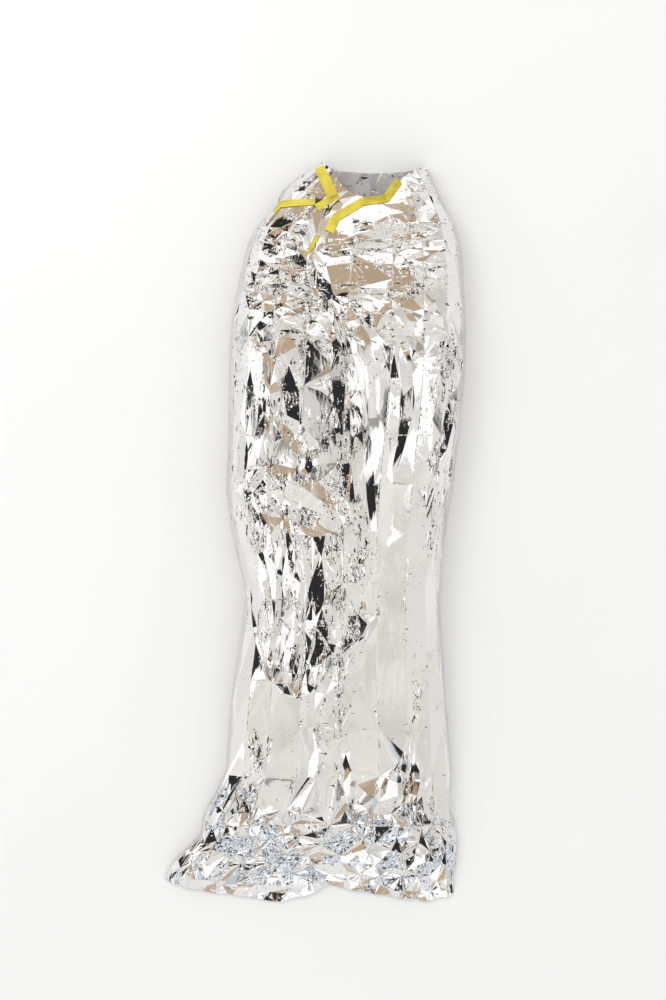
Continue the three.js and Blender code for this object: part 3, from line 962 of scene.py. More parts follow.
@dataclass(frozen=True)
class FilmFinish:
    """Mirror-bright metallised film with dulled packing creases, painted dark reflections as short dashes
    and dark shards, painted shade on its walls and inside, a painted blue reflection towards the foot, and
    a fine crinkle.

    A span gives the two values between which a look changes, or the two amounts that it changes between.
    """

    bright: Colour = (0.90, 0.895, 0.885)
    dull: Colour = (0.835, 0.825, 0.81)
    dull_span: Span = (0.35, 0.75)
    # painted dark reflection: the colour of the short dark dashes and of the dark shards, standing for
    # mirrored dark lines
    painted_dark_reflection: Colour = (0.16, 0.155, 0.15)
    dark_dash_cells: Triple = (55.0, 330.0, 120.0)
    dark_dash_noise: Noise = Noise(1.0, 1.0)
    dark_dash_span: Span = (0.73, 0.75)
    dark_dash_clouds: Span = (0.48, 0.56)
    # painted blue reflection: a bluish tint on the crumpled film towards the foot
    painted_blue_reflection: Colour = (0.76, 0.83, 0.93)
    blue_reflection_share: float = 0.8
    blue_reflection_along: Span = (-0.58, -0.5)
    blue_reflection_patches: Span = (0.42, 0.58)
    # painted shade: the steep side walls are darkened by how upright they face
    painted_wall_shade: Colour = (0.72, 0.71, 0.69)
    wall_shade_share: float = 0.9
    wall_shade_upright: Span = (0.3, 0.6)
    # painted shade: the inside of the bag, seen through the mouth, is coloured darker
    painted_inner_shade: Colour = (0.62, 0.62, 0.625)
    inner_rough: float = 0.2
    inner_metal: float = 0.55
    clouds: Noise = Noise(9.0, 4.0)
    patches: Noise = Noise(26.0, 2.0)
    along_clouds: Span = (0.25, 0.75)
    along_shift: Span = (-0.07, 0.07)
    crease_width: float = 0.022
    cross_width: float = 0.6
    crease_gaps: Noise = Noise(90.0, 1.0)
    crease_shows: float = 0.42
    cross_shows: float = 0.54
    crease_fade: float = 0.12
    crease_rough: float = 0.1
    gather_widen: float = 6.0
    gather_share: float = 0.45
    gather_clouds: Span = (0.48, 0.66)
    crinkle_patches: Span = (0.42, 0.62)
    crinkle_shares: Span = (0.05, 0.9)
    crinkle_fade: float = 0.04
    wander: Noise = Noise(70.0, 2.0)
    wander_reach: float = 0.012
    wrinkle: float = 1.1
    wrinkle_cells: Triple = (48.0, 20.0, 40.0)
    wrinkle_noise: Noise = Noise(1.0, 3.0)
    bump: float = 0.3
    bump_depth: float = 0.001
    rough_clouds: Span = (0.3, 0.8)
    rough: Span = (0.03, 0.07)
    crinkles: tuple[Crinkle, ...] = (
        Crinkle((300.0, 55.0, 150.0), 0.5, 0.9, 0.15, -0.54, 0.42),
        Crinkle((55.0, 300.0, 150.0), 0.5, 0.9, 0.12, 0.42, 2.0),
        Crinkle((130.0, 130.0, 130.0), 0.4, 0.9, 0.02, -2.0, -0.54),
        Crinkle((330.0, 330.0, 330.0), 0.55, 0.7, 0.08, -2.0, 2.0),
    )

    def sockets(self, n: Nodes) -> FilmSockets:
        """Makes what the looks are worked out from.

        Args:
            n: Adds the nodes.

        Returns:
            The sockets.
        """
        place = n.place()
        clouds = n.noise(place, self.clouds)
        shift = n.ramp(clouds, *self.along_clouds, *self.along_shift)
        surface = n.add("NewGeometry")
        return FilmSockets(
            place=place,
            along=n.math("ADD", n.part(place, "Y"), shift),
            clouds=clouds,
            patches=n.noise(place, self.patches),
            crumple=n.add("Attribute", attribute_name="crumple").outputs["Fac"],
            normal=surface.outputs["Normal"],
            inside=surface.outputs["Backfacing"],
        )

    def creases(self, n: Nodes, s: FilmSockets) -> tuple[Socket, Socket]:
        """Draws the packing creases, broken here and there.

        Args:
            n: Adds the nodes.
            s: The film's sockets.

        Returns:
            How far a place is on a crease, and how far in the gathers beside a lengthwise one.
        """
        panel = n.add("UVMap", uv_map="panels").outputs["UV"]
        broken = n.noise(s.place, self.crease_gaps)
        lengthwise = ("X", self.crease_width, self.crease_shows)
        crosswise = ("Y", self.crease_width * self.cross_width, self.cross_shows)
        away = []
        creases = []
        for axis, width, low in (lengthwise, crosswise):
            share = n.math("FRACT", n.part(panel, axis))
            away.append(n.math("MINIMUM", share, n.math("SUBTRACT", 1.0, share)))
            line = n.ramp(away[-1], 0.0, width, 1.0, 0.0)
            creases.append(n.math("MULTIPLY", line, n.ramp(broken, low, low + self.crease_fade)))
        gather = n.ramp(away[0], self.crease_width, self.crease_width * self.gather_widen, 1.0, 0.0)
        return n.math("MAXIMUM", *creases), gather

    def shade(self, n: Nodes, s: FilmSockets) -> Socket:
        """Colours the film under its shards: clouded, with painted dark reflections as dashes, a painted
        blue reflection at the foot, painted shade on the walls and painted shade inside.

        Args:
            n: Adds the nodes.
            s: The film's sockets.

        Returns:
            The colour.
        """
        shade = n.blend(n.ramp(s.clouds, *self.dull_span), self.bright, self.dull)
        # short dark dashes painted into the colour, as painted dark reflections
        dark_dash_field = n.noise(n.vector("MULTIPLY", s.place, self.dark_dash_cells), self.dark_dash_noise)
        dark_dash = n.math("MULTIPLY", n.ramp(dark_dash_field, *self.dark_dash_span), n.ramp(s.clouds, *self.dark_dash_clouds))
        shade = n.blend(dark_dash, shade, self.painted_dark_reflection)
        # painted blue reflection on crumpled faces towards the foot
        blue_reflection_mask = n.ramp(s.along, *self.blue_reflection_along, self.blue_reflection_share, 0.0)
        blue_reflection_mask = n.math("MULTIPLY", blue_reflection_mask, n.ramp(s.patches, *self.blue_reflection_patches))
        shade = n.blend(n.math("MULTIPLY", s.crumple, blue_reflection_mask), shade, self.painted_blue_reflection)
        # painted shade on the steep walls, by how upright the surface faces
        upright = n.math("ABSOLUTE", n.part(s.normal, "Z"))
        shade = n.blend(n.ramp(upright, *self.wall_shade_upright, self.wall_shade_share, 0.0), shade, self.painted_wall_shade)
        # painted shade on the inside faces
        return n.blend(s.inside, shade, self.painted_inner_shade)

    def crinkled(self, n: Nodes, s: FilmSockets, shade: Socket, gather: Socket) -> tuple[Socket, Socket]:
        """Lays small leaning shards over the film.

        Args:
            n: Adds the nodes.
            s: The film's sockets.
            shade: The film's colour.
            gather: How far a place is in the gathers beside a crease.

        Returns:
            The colour with some shards painted dark as painted dark reflections, and the normal.
        """
        density = n.ramp(s.patches, *self.crinkle_patches, *self.crinkle_shares)
        density = n.math("MULTIPLY", s.crumple, density)
        gathered = n.math("MULTIPLY", gather, n.ramp(s.clouds, *self.gather_clouds, 0.0, self.gather_share))
        density = n.math("MAXIMUM", density, gathered)
        wander = n.scaled(n.noise(s.place, self.wander, "Color"), self.wander_reach)
        bent = n.vector("ADD", s.place, wander)
        normal = s.normal
        fade = self.crinkle_fade
        for layer in self.crinkles:
            shard = n.vector("MULTIPLY", bent, layer.cells)
            cell = n.add("TexVoronoi", {"Vector": shard, "Scale": 1.0}).outputs["Color"]
            chances = n.add("SeparateColor", {0: cell})
            here = n.ramp(s.along, layer.low - fade, layer.low + fade, 0.0, layer.share)
            here = n.math("MULTIPLY", here, n.ramp(s.along, layer.high - fade, layer.high + fade, 1.0, 0.0))
            pick = n.math("LESS_THAN", chances.outputs["Blue"], n.math("MULTIPLY", density, here))
            # shards that lean towards the foot are painted dark, as painted dark reflections
            painted_dark = n.math("LESS_THAN", chances.outputs["Green"], layer.painted_dark)
            shade = n.blend(n.math("MULTIPLY", pick, painted_dark), shade, self.painted_dark_reflection)
            lean = n.vector("SUBTRACT", cell, (0.5, 0.5, 0.5))
            lean = n.scaled(lean, n.math("MULTIPLY", pick, 2.0 * layer.tilt))
            normal = n.vector("ADD", normal, lean)
        return shade, n.vector("NORMALIZE", normal)

    def material(self) -> bpy.types.Material:
        """Makes the film's material."""
        made, n = new_material("film")
        s = self.sockets(n)
        crease, gather = self.creases(n, s)
        shade, normal = self.crinkled(n, s, self.shade(n, s), gather)
        wrinkles = n.noise(n.vector("MULTIPLY", s.place, self.wrinkle_cells), self.wrinkle_noise)
        height = n.math("ADD", crease, n.math("MULTIPLY", wrinkles, self.wrinkle))
        bump = {"Strength": self.bump, "Distance": self.bump_depth, "Height": height, "Normal": normal}
        rough = n.ramp(s.clouds, *self.rough_clouds, *self.rough)
        rough = n.math("ADD", rough, n.math("MULTIPLY", crease, self.crease_rough))
        rough = n.math("ADD", rough, n.math("MULTIPLY", s.inside, self.inner_rough))
        metal = n.ramp(s.inside, 0.0, 1.0, 1.0, self.inner_metal)
        bumped = n.add("Bump", bump).outputs["Normal"]
        n.surface({"Base Color": shade, "Metallic": metal, "Roughness": rough, "Normal": bumped})
        return made


@dataclass(frozen=True)
class TapeFinish:
    """Matte coloured tape, clouded darker partly by wear and partly by painted shade, with a faint ribbed
    face.
    """

    colour: Colour = (0.76, 0.63, 0.075)
    # darker tape colour for the clouds: partly wear, partly painted shade
    worn_and_shaded: Colour = (0.53, 0.42, 0.036)
    worn_and_shade_span: Span = (0.35, 0.75)
    clouds: Noise = Noise(30.0, 4.0)
    ribs: float = 260.0
    rib_bend: float = 1.5
    rib_rise: float = 0.3
    grain: Noise = Noise(700.0, 2.0)
    bump: float = 0.25
    bump_depth: float = 0.0005
    rough_clouds: Span = (0.3, 0.8)
    rough: Span = (0.5, 0.68)

    def material(self) -> bpy.types.Material:
        """Makes the tape's material."""
        made, n = new_material("tape")
        place = n.place()
        clouds = n.noise(place, self.clouds)
        # darker clouds, partly wear and partly painted shade
        shade = n.blend(n.ramp(clouds, *self.worn_and_shade_span), self.colour, self.worn_and_shaded)
        waves = {"Vector": place, "Scale": self.ribs, "Distortion": self.rib_bend}
        ribs = n.math("MULTIPLY", n.add("TexWave", waves).outputs["Fac"], self.rib_rise)
        height = n.math("ADD", ribs, n.noise(place, self.grain))
        bump = {"Strength": self.bump, "Distance": self.bump_depth, "Height": height}
        bumped = n.add("Bump", bump).outputs["Normal"]
        rough = n.ramp(clouds, *self.rough_clouds, *self.rough)
        n.surface({"Base Color": shade, "Roughness": rough, "Normal": bumped})
        return made


@dataclass(frozen=True)
class FloorFinish:
    """Plain pale studio floor."""

    colour: Colour = (0.905, 0.905, 0.903)
    shade: Colour = (0.89, 0.89, 0.888)
    shade_span: Span = (0.3, 0.7)
    clouds: Noise = Noise(1.2, 3.0)
    rough: float = 0.65

    def material(self) -> bpy.types.Material:
        """Makes the floor's material."""
        made, n = new_material("floor")
        clouds = n.noise(n.place(), self.clouds)
        shade = n.blend(n.ramp(clouds, *self.shade_span), self.colour, self.shade)
        n.surface({"Base Color": shade, "Roughness": self.rough})
        return made


def mesh_object(name: str, points: Array, faces: Array | list, shading: Shading) -> bpy.types.Object:
    """Makes an object from points in millimetres.

    Args:
        name: The object's name.
        points: One row of x, y and z for each point.
        faces: Point numbers of each face.
        shading: How the faces meet.

    Returns:
        The object, linked to the scene.
    """
    mesh = bpy.data.meshes.new(name)
    mesh.from_pydata((np.asarray(points) * MM).tolist(), [], [list(map(int, f)) for f in faces])
    mesh.validate()
    if shading is Shading.CREASED:
        mesh.shade_smooth()
        mesh.set_sharp_from_angle(angle=math.radians(CREASE_ANGLE))
    else:
        mesh.shade_flat()
    made = bpy.data.objects.new(name, mesh)
    bpy.context.scene.collection.objects.link(made)
    return made


def merge_close(mesh: bpy.types.Mesh, reach: float) -> None:
    """Joins the close points of a mesh and sharpens its creases.

    A flap that both layers share, at the end of a seam, is dropped.

    Args:
        mesh: The mesh to change.
        reach: How close the points that become one are, in millimetres.
    """
    made = bmesh.new()
    made.from_mesh(mesh)
    bmesh.ops.remove_doubles(made, verts=made.verts, dist=reach * MM)
    seams = {face for edge in made.edges if len(edge.link_faces) > 2 for face in edge.link_faces}
    flaps = [face for face in seams if any(edge.is_boundary for edge in face.edges)]
    bmesh.ops.delete(made, geom=flaps, context="FACES")
    made.to_mesh(mesh)
    made.free()
    mesh.set_sharp_from_angle(angle=math.radians(CREASE_ANGLE))


@dataclass
class FilmBag:
    """The film bag: a folded front and a flat back, joined at the sides and the foot and open at the mouth.

    Lengths are in millimetres, but for flat_size, which is in metres.
    """

    shape: FilmShape
    finish: FilmFinish
    ends: Span = (-810.0, 810.0)
    edge_step: float = 9.0
    margin: float = 7.0
    margin_share: float = 0.4
    coarse_step: float = 48.0
    foot_step: float = 34.0
    middle_step: float = 17.0
    calm_step: float = 40.0
    fine_step: float = 7.0
    scatter_share: float = 0.34
    coarse_from: float = 1.4
    foot_from: float = 2.6
    middle_from: float = 0.6
    fine_from: float = 0.2
    fine_rise: float = 0.6
    smooth_share: float = 0.38
    smooth_crinkle: float = 0.1
    breast_from: float = 415.0
    breast_wave: float = 60.0
    breast_wave_step: float = 80.0
    breast_scale: float = 1.7
    pack_rows: tuple[int, int] = (-6, 8)
    pack_wander: float = 2.0
    cross_from: float = -500.0
    cross_calm: float = 1.1
    tuck_ends: float = 20.0
    tuck_step: float = 13.0
    tuck_wander: float = 5.0
    tuck_reach: Span = (9.0, 26.0)
    wall_ends: Span = (-560.0, 760.0)
    wall_step: float = 30.0
    wall_arcs: tuple[float, ...] = (9.0, 24.0, 44.0)
    wall_wander: Span = (3.0, 12.0)
    wall_margin: float = 5.0
    wall_crinkle: float = 0.75
    shoulder_from: Span = (-60.0, 420.0)
    shoulder_reach: Span = (50.0, 100.0)
    foot_reach: float = 52.0
    back_step: float = 34.0
    back_ends: Span = (70.0, 20.0)
    back_width: float = 480.0
    back_sag: float = 14.0
    back_crumple: float = 4.0
    back_facets: Span = (11.0, 46.0)
    back_gap: float = 0.6
    back_crinkle: float = 0.2
    back_mouth_points: int = 25
    pleats: tuple[float, ...] = (0.2, 0.4, 0.62, 0.82)
    pleat_lap: float = 0.06
    pleat_grows: Span = (60.0, 200.0)
    pleat_end: float = 3.0
    pleat_row_gap: float = 12.0
    pleat_shift: tuple[Span, ...] = ((-1.0, 0.0), (-0.5, 0.9), (0.5, -0.9), (1.0, 0.0))
    pleat_lift: tuple[Span, ...] = (
        (-1.2, 0.0),
        (-1.0, 0.0),
        (-0.5, 0.4),
        (0.5, 1.6),
        (1.0, 2.6),
        (1.5, 0.0),
    )
    merge_reach: float = 0.02
    crease_near: float = 0.04
    crease_lean: float = 0.08
    flat_size: Span = (0.76, 1.83)

    def outline(self) -> Array:
        """The front's edge on the flat film, from the left end of the foot round by the right."""
        girth = self.shape.girth
        arcs = np.linspace(0.0, girth, int(girth / self.edge_step) + 1)
        foot, mouth = self.shape.edges(arcs)
        right = resample(np.array([[girth, foot[-1]], [girth, mouth[-1]]]), self.edge_step)
        left = resample(np.array([[0.0, mouth[0]], [0.0, foot[0]]]), self.edge_step)
        lower, upper = np.stack([arcs, foot], axis=1), np.stack([arcs, mouth], axis=1)[::-1]
        return np.vstack([lower, right[1:], upper[1:], left[1:-1]])

    def mouth_corners(self, edge: Array) -> tuple[int, int]:
        """Numbers of the mouth's right and left corners among the outline's points."""
        right = int(np.flatnonzero(edge[:, 0] == self.shape.girth)[-1])
        return right, right + int(self.shape.girth / self.edge_step)

    def inside(self, flat: Array, margin: float) -> Array:
        """Tells which flat places lie inside the front's edge.

        Args:
            flat: One row for each place.
            margin: How far inside they have to be.

        Returns:
            Whether each place does.
        """
        foot, mouth = self.shape.edges(np.clip(flat[:, 0], 0.0, self.shape.girth))
        across = (flat[:, 0] > margin) & (flat[:, 0] < self.shape.girth - margin)
        return across & (flat[:, 1] > foot + margin) & (flat[:, 1] < mouth - margin)

    def grained(self, flat: Array, back: bool = False) -> Array:
        """Flat places with their lengths scaled by the grain, or turned back."""
        return np.stack([flat[:, 0], self.shape.grain(flat[:, 1], back)], axis=1)

    def scatter(self, step: float, seed: int) -> Array:
        """Spreads uneven places all over the flat front, wider apart in the breast.

        Args:
            step: About how far apart the places are below the breast.
            seed: Picks the places.

        Returns:
            One row for each place.
        """
        rng = np.random.default_rng(seed)
        low, high = self.shape.grain(np.array(self.ends))
        parts = []
        for size, sign in ((step, -1.0), (step * self.breast_scale, 1.0)):
            v = np.arange(low, high, size * ROW_STEP)
            u = np.arange(0.0, self.shape.girth, size)
            grid_v, grid_u = np.meshgrid(v, u, indexing="ij")
            grid_u = grid_u + (np.arange(len(v)) % 2)[:, None] * size / 2.0
            flat = np.stack([grid_u.ravel(), grid_v.ravel()], axis=1)
            flat += rng.uniform(-self.scatter_share, self.scatter_share, flat.shape) * size
            flat = self.grained(flat, back=True)
            wave = facets(flat[:, 0] / self.breast_wave_step, np.zeros(len(flat)), Seed.BREAST_EDGE)
            border = self.breast_from + self.breast_wave * wave
            parts.append(flat[sign * (flat[:, 1] - border) >= 0.0])
        flat = np.vstack(parts)
        return flat[self.inside(flat, max(self.margin, step * self.margin_share))]

    def heights(self, flat: Array) -> tuple[Array, Array, Array]:
        """Heights of the coarse, middle and fine facets at flat places."""
        return self.shape.zone_heights(self.shape.plan_x(flat[:, 0], flat[:, 1]), flat[:, 1])

    def busy(self, flat: Array, level: Level, low: float, high: float = math.inf) -> Array:
        """Whether the facets of one level are between two heights at flat places."""
        height = self.heights(flat)[level]
        return (height >= low) & (height < high)

    def shaken(self, flat: Array, level: Level, rng: np.random.Generator, rise: float = 1.0) -> Array:
        """Chance heights off the film at flat places, as high as one level of facets has them there."""
        return rise * self.heights(flat)[level] * rng.uniform(-1.0, 1.0, len(flat))

    def crease_lines(self) -> list[Array]:
        """The fold lines and the packing creases on the flat film."""
        lines = []
        for fold in self.shape.lines:
            for plan in fold.creases():
                lines.append(np.stack([self.shape.arc_at(plan[:, 0], plan[:, 1]), plan[:, 1]], axis=1))
        rng = np.random.default_rng(Seed.PACKING)
        panel = self.shape.girth / self.shape.pack_panels
        rows = np.arange(*self.pack_rows) * self.shape.pack_length
        for k in range(1, self.shape.pack_panels):
            arcs = k * panel + rng.uniform(-self.pack_wander, self.pack_wander, rows.size)
            lines.append(np.stack([arcs, rows], axis=1))
        arcs = np.arange(1, self.shape.pack_panels) * panel
        for y in rows[rows > self.cross_from]:
            row = np.stack([arcs, np.full(arcs.size, float(y))], axis=1)
            calm = self.busy(row, Level.COARSE, 0.0, self.cross_calm)
            lines += [row[i : i + 2] for i in range(len(row) - 1) if calm[i] and calm[i + 1]]
        return lines

    def foot_tucks(self) -> Array:
        """Uneven places close behind the foot edge."""
        rng = np.random.default_rng(Seed.FOOT_TUCKS)
        arcs = np.arange(self.tuck_ends, self.shape.girth - self.tuck_ends, self.tuck_step)
        arcs = arcs + rng.uniform(-self.tuck_wander, self.tuck_wander, arcs.size)
        foot, _ = self.shape.edges(arcs)
        return np.stack([arcs, foot + rng.uniform(*self.tuck_reach, arcs.size)], axis=1)

    def wall_tucks(self) -> Array:
        """Uneven places on the two side walls."""
        rng = np.random.default_rng(Seed.WALL_TUCKS)
        rows, arcs = np.meshgrid(np.arange(*self.wall_ends, self.wall_step), self.wall_arcs, indexing="ij")
        left = np.stack([arcs.ravel(), rows.ravel()], axis=1)
        right = np.array([self.shape.girth, 0.0]) + left * np.array([-1.0, 1.0])
        flat = np.vstack([left, right])
        flat += rng.uniform(-1.0, 1.0, flat.shape) * np.array(self.wall_wander)
        return flat[self.inside(flat, self.wall_margin)]

    def coarse_places(self, edge: Array) -> tuple[Array, Joins]:
        """Places the corners of the largest facets.

        Args:
            edge: The front's edge on the flat film.

        Returns:
            The flat places, those of the edge first, and the pairs of them that stay joined.
        """
        count = len(edge)
        places = [edge]
        joins = [(i, (i + 1) % count) for i in range(count)]
        for line in self.crease_lines():
            within = self.inside(line, self.margin)
            kept = np.flatnonzero(within[:-1] & within[1:]).tolist()
            joins += [(count + i, count + i + 1) for i in kept]
            line[~within] = edge[0]
            places.append(line)
            count += len(line)
        places.append(self.foot_tucks())
        spread = self.scatter(self.coarse_step, Seed.COARSE)
        places.append(spread[self.busy(spread, Level.COARSE, self.coarse_from, self.foot_from)])
        bunched = self.scatter(self.foot_step, Seed.FOOT)
        places.append(bunched[self.busy(bunched, Level.COARSE, self.foot_from)])
        places.append(self.wall_tucks())
        return np.vstack(places), joins

    def coarse_net(self, rng: np.random.Generator) -> Net:
        """Builds the largest facets of the front.

        Args:
            rng: Draws their heights.

        Returns:
            Their net, over the film with its lengths scaled by the grain.
        """
        edge = self.outline()
        places, joins = self.coarse_places(edge)
        placed, triangles, source = triangulate(self.grained(places), joins)
        flat = self.grained(placed, back=True)
        on_edge = (source >= 0) & (source < len(edge))
        off = np.where(on_edge, 0.0, self.shaken(flat, Level.COARSE, rng))
        made = Net(placed, self.shape.front(flat[:, 0], flat[:, 1], off), triangles)
        right, left = self.mouth_corners(edge)
        foot, mouth = edge[: left - right + 1], edge[right : left + 1][::-1]
        made.triangles = triangles[between(made.centres(), self.grained(foot), self.grained(mouth))]
        return made

    def front_net(self) -> tuple[Net, Array]:
        """Builds the front as flat facets in three sizes, each inside the one before.

        Returns:
            The front's net and how finely crinkled each of its triangles is.
        """
        rng = np.random.default_rng(Seed.HEIGHTS)
        coarse = self.coarse_net(rng)
        crinkled = rng.uniform(0.0, 1.0, len(coarse.triangles)) > self.smooth_share
        spread = self.scatter(self.middle_step, Seed.MIDDLE)
        spread = spread[self.busy(spread, Level.MIDDLE, self.middle_from)]
        calm = self.scatter(self.calm_step, Seed.CALM)
        calm = calm[self.busy(calm, Level.MIDDLE, 0.0, self.middle_from)]
        middle = np.vstack([spread, calm])
        net = coarse.finer(self.grained(middle), self.shaken(middle, Level.MIDDLE, rng))
        small = self.scatter(self.fine_step, Seed.FINE)
        on_crinkled = crinkled[coarse.faces_at(self.grained(small))]
        small = small[self.busy(small, Level.FINE, self.fine_from) & on_crinkled]
        net = net.finer(self.grained(small), self.shaken(small, Level.FINE, rng, self.fine_rise))
        centres = net.centres()
        flat = self.grained(centres, back=True)
        share = np.where(crinkled[coarse.faces_at(centres)], 1.0, self.smooth_crinkle)
        fine = share * self.heights(flat)[Level.FINE]
        fine = np.maximum(fine, self.wall_crinkle * self.shoulder_wall(flat))
        net.flat = self.grained(net.flat, back=True)
        return net, np.clip(fine, 0.0, 1.0)

    def shoulder_wall(self, flat: Array) -> Array:
        """How far flat places lie on the side walls of the upper half, from 0 to 1."""
        from_side = np.minimum(flat[:, 0], self.shape.girth - flat[:, 0])
        on_wall = 1.0 - smooth_step(from_side, *self.shoulder_reach)
        return smooth_step(flat[:, 1], *self.shoulder_from) * on_wall

    def back_net(self, edge: Array) -> Net:
        """Builds the back, with its slack lying in flat pleats.

        Args:
            edge: Points in space of the front's sides and foot, from the left corner of the mouth round
                by the foot.

        Returns:
            The back's net.
        """
        low, high = edge[:, 1].min(), edge[[0, -1], 1].mean()
        left, right, _ = self.shape.station(edge[:, 1])
        sides = np.stack([np.clip((edge[:, 0] - left) / (right - left), 0.0, 1.0), edge[:, 1]], axis=1)
        share = np.linspace(0.0, 1.0, self.back_mouth_points)[1:-1][::-1]
        sag = self.back_sag * np.sin(math.pi * share)
        mouth = np.stack([share, edge[0, 1] + (edge[-1, 1] - edge[0, 1]) * share - sag], axis=1)
        ring = np.vstack([sides, mouth])
        rows = np.arange(low + self.back_ends[0], high - self.back_ends[1], self.back_step)
        count = len(ring)
        places, joins = [ring], [(i, (i + 1) % count) for i in range(count)]
        for fold in [c + d * self.pleat_lap for c in self.pleats for d, _ in self.pleat_shift]:
            top = np.interp(fold, mouth[::-1, 0], mouth[::-1, 1]) - self.pleat_end
            line = np.append(rows[rows < top - self.pleat_row_gap], top)
            places.append(np.stack([np.full(line.size, fold), line], axis=1))
            joins += [(count + i, count + i + 1) for i in range(line.size - 1)]
            count += line.size
        scale = np.array([self.back_width, 1.0])
        flat, triangles, source = triangulate(np.vstack(places) * scale, joins)
        points = self.back_points(flat / scale, low)
        on_ring = (source >= 0) & (source < len(edge))
        points[on_ring] = edge[source[on_ring]]
        made = Net(flat, points, triangles)
        corners = [np.array([[0.0, edge[0, 1]]]), mouth[::-1], np.array([[1.0, edge[-1, 1]]])]
        foot = sides[sides[:, 1] < low + self.foot_reach]
        made.triangles = triangles[between(made.centres() / scale, foot, np.vstack(corners))][:, ::-1]
        return made

    def back_points(self, flat: Array, low: float) -> Array:
        """Places the back in space, with each pleat doubled back on itself.

        Args:
            flat: Shares of the back's width, and lengths.
            low: Length at the lowest point of the foot.

        Returns:
            One row of x, y and z for each place.
        """
        share, y = flat[:, 0], flat[:, 1]
        grown = smooth_step(y, low + self.pleat_grows[0], low + self.pleat_grows[1])
        moved, lift = share.copy(), np.zeros(share.shape)
        for centre in self.pleats:
            at = (share - centre) / self.pleat_lap
            moved += self.pleat_lap * grown * np.interp(at, *zip(*self.pleat_shift))
            lift += grown * np.interp(at, *zip(*self.pleat_lift))
        left, right, _ = self.shape.station(y)
        cells, length = self.back_facets
        rough = np.abs(facets(share * cells, y / length, Seed.BACK))
        rough = rough * np.sin(math.pi * np.clip(share, 0.0, 1.0))
        z = self.back_gap + lift + self.back_crumple * rough * grown
        return np.stack([left + (right - left) * moved, y, z], axis=1)

    def build(self) -> bpy.types.Object:
        """Makes the bag's mesh with its panel coordinates and its crumple values."""
        front, fine = self.front_net()
        edge = self.outline()
        ring = self.shape.front(edge[:, 0], edge[:, 1], np.zeros(len(edge)))
        right, left = self.mouth_corners(edge)
        order = np.concatenate([np.arange(left, len(edge)), np.arange(0, right + 1)])
        back = self.back_net(ring[order])
        points = np.vstack([front.points, back.points])
        faces = np.vstack([front.triangles, back.triangles + len(front.points)])
        bag = mesh_object("film_sheet", points, faces, Shading.CREASED)
        fine = np.append(fine, np.full(len(back.triangles), self.back_crinkle))
        self.mark(bag.data, np.vstack([front.flat, back.flat]), fine)
        merge_close(bag.data, self.merge_reach)
        self.crease_panels(bag.data)
        return bag

    def mark(self, mesh: bpy.types.Mesh, flat: Array, fine: Array) -> None:
        """Stores the packing panels as a UV map and the crinkling of each face as an attribute.

        Args:
            mesh: The bag's mesh.
            flat: The flat place of each of its points.
            fine: How finely crinkled each of its faces is.
        """
        panel = self.shape.girth / self.shape.pack_panels
        loops = np.empty(len(mesh.loops), dtype=np.int32)
        mesh.loops.foreach_get("vertex_index", loops)
        layer = mesh.uv_layers.new(name="panels")
        uv = flat[loops] / np.array([panel, self.shape.pack_length])
        layer.data.foreach_set("uv", uv.astype(np.float32).ravel())
        crumple = mesh.attributes.new("crumple", "FLOAT", "FACE")
        crumple.data.foreach_set("value", fine.astype(np.float32))

    def crease_panels(self, mesh: bpy.types.Mesh) -> None:
        """Sharpens the edges that lie on the lengthwise packing creases.

        Args:
            mesh: The bag's mesh, of triangles.
        """
        uv = np.empty(2 * len(mesh.loops), dtype=np.float32)
        mesh.uv_layers["panels"].data.foreach_get("uv", uv)
        edges = np.empty(len(mesh.loops), dtype=np.int32)
        mesh.loops.foreach_get("edge_index", edges)
        across = uv[::2].reshape(-1, 3)
        after = np.roll(across, -1, axis=1)
        near = np.maximum(np.abs(across - np.round(across)), np.abs(after - np.round(after)))
        on_crease = (near < self.crease_near) & (np.abs(across - after) < self.crease_lean)
        sharp = np.zeros(len(mesh.edges), dtype=bool)
        mesh.attributes["sharp_edge"].data.foreach_get("value", sharp)
        sharp[edges.reshape(-1, 3)[on_crease]] = True
        mesh.attributes["sharp_edge"].data.foreach_set("value", sharp)

    def dress(self, bag: bpy.types.Object) -> None:
        """Gives the bag its finish and its place in the frame."""
        bag.data.materials.append(self.finish.material())
        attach(bag, "root")
        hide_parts("film_bag")


@dataclass(frozen=True)
class TapePoint:
    """A corner of a tape strip: its place and width in millimetres.

    slope is the strip's slope across its width.
    """

    x: float
    y: float
    width: float
    slope: float = 0.0


Strip = tuple[TapePoint, ...]

TAPE_STRIPS: dict[str, tuple[Strip, ...]] = {
    "mouth_tape_right": (
        (TapePoint(181, 758, 18, -0.3), TapePoint(151, 717, 19, -0.3)),
        (TapePoint(158, 719, 14), TapePoint(102, 712, 18), TapePoint(46, 678, 19), TapePoint(30, 646, 23)),
    ),
    "mouth_tape_tuck": ((TapePoint(7, 639, 8), TapePoint(-11, 606, 8), TapePoint(-17, 596, 4)),),
    "mouth_tape_left": (
        (TapePoint(-73, 712, 11), TapePoint(-88, 693, 8)),
        (TapePoint(0, 712, 13), TapePoint(-76, 710, 17)),
        (TapePoint(50, 728, 14), TapePoint(4, 699, 17)),
        (TapePoint(9, 790, 21, 0.3), TapePoint(38, 724, 25, 0.3)),
    ),
}


def strip_line(strip: Strip) -> Array:
    """The middle line of a tape strip on the plan."""
    return np.array([(p.x, p.y) for p in strip], dtype=float)


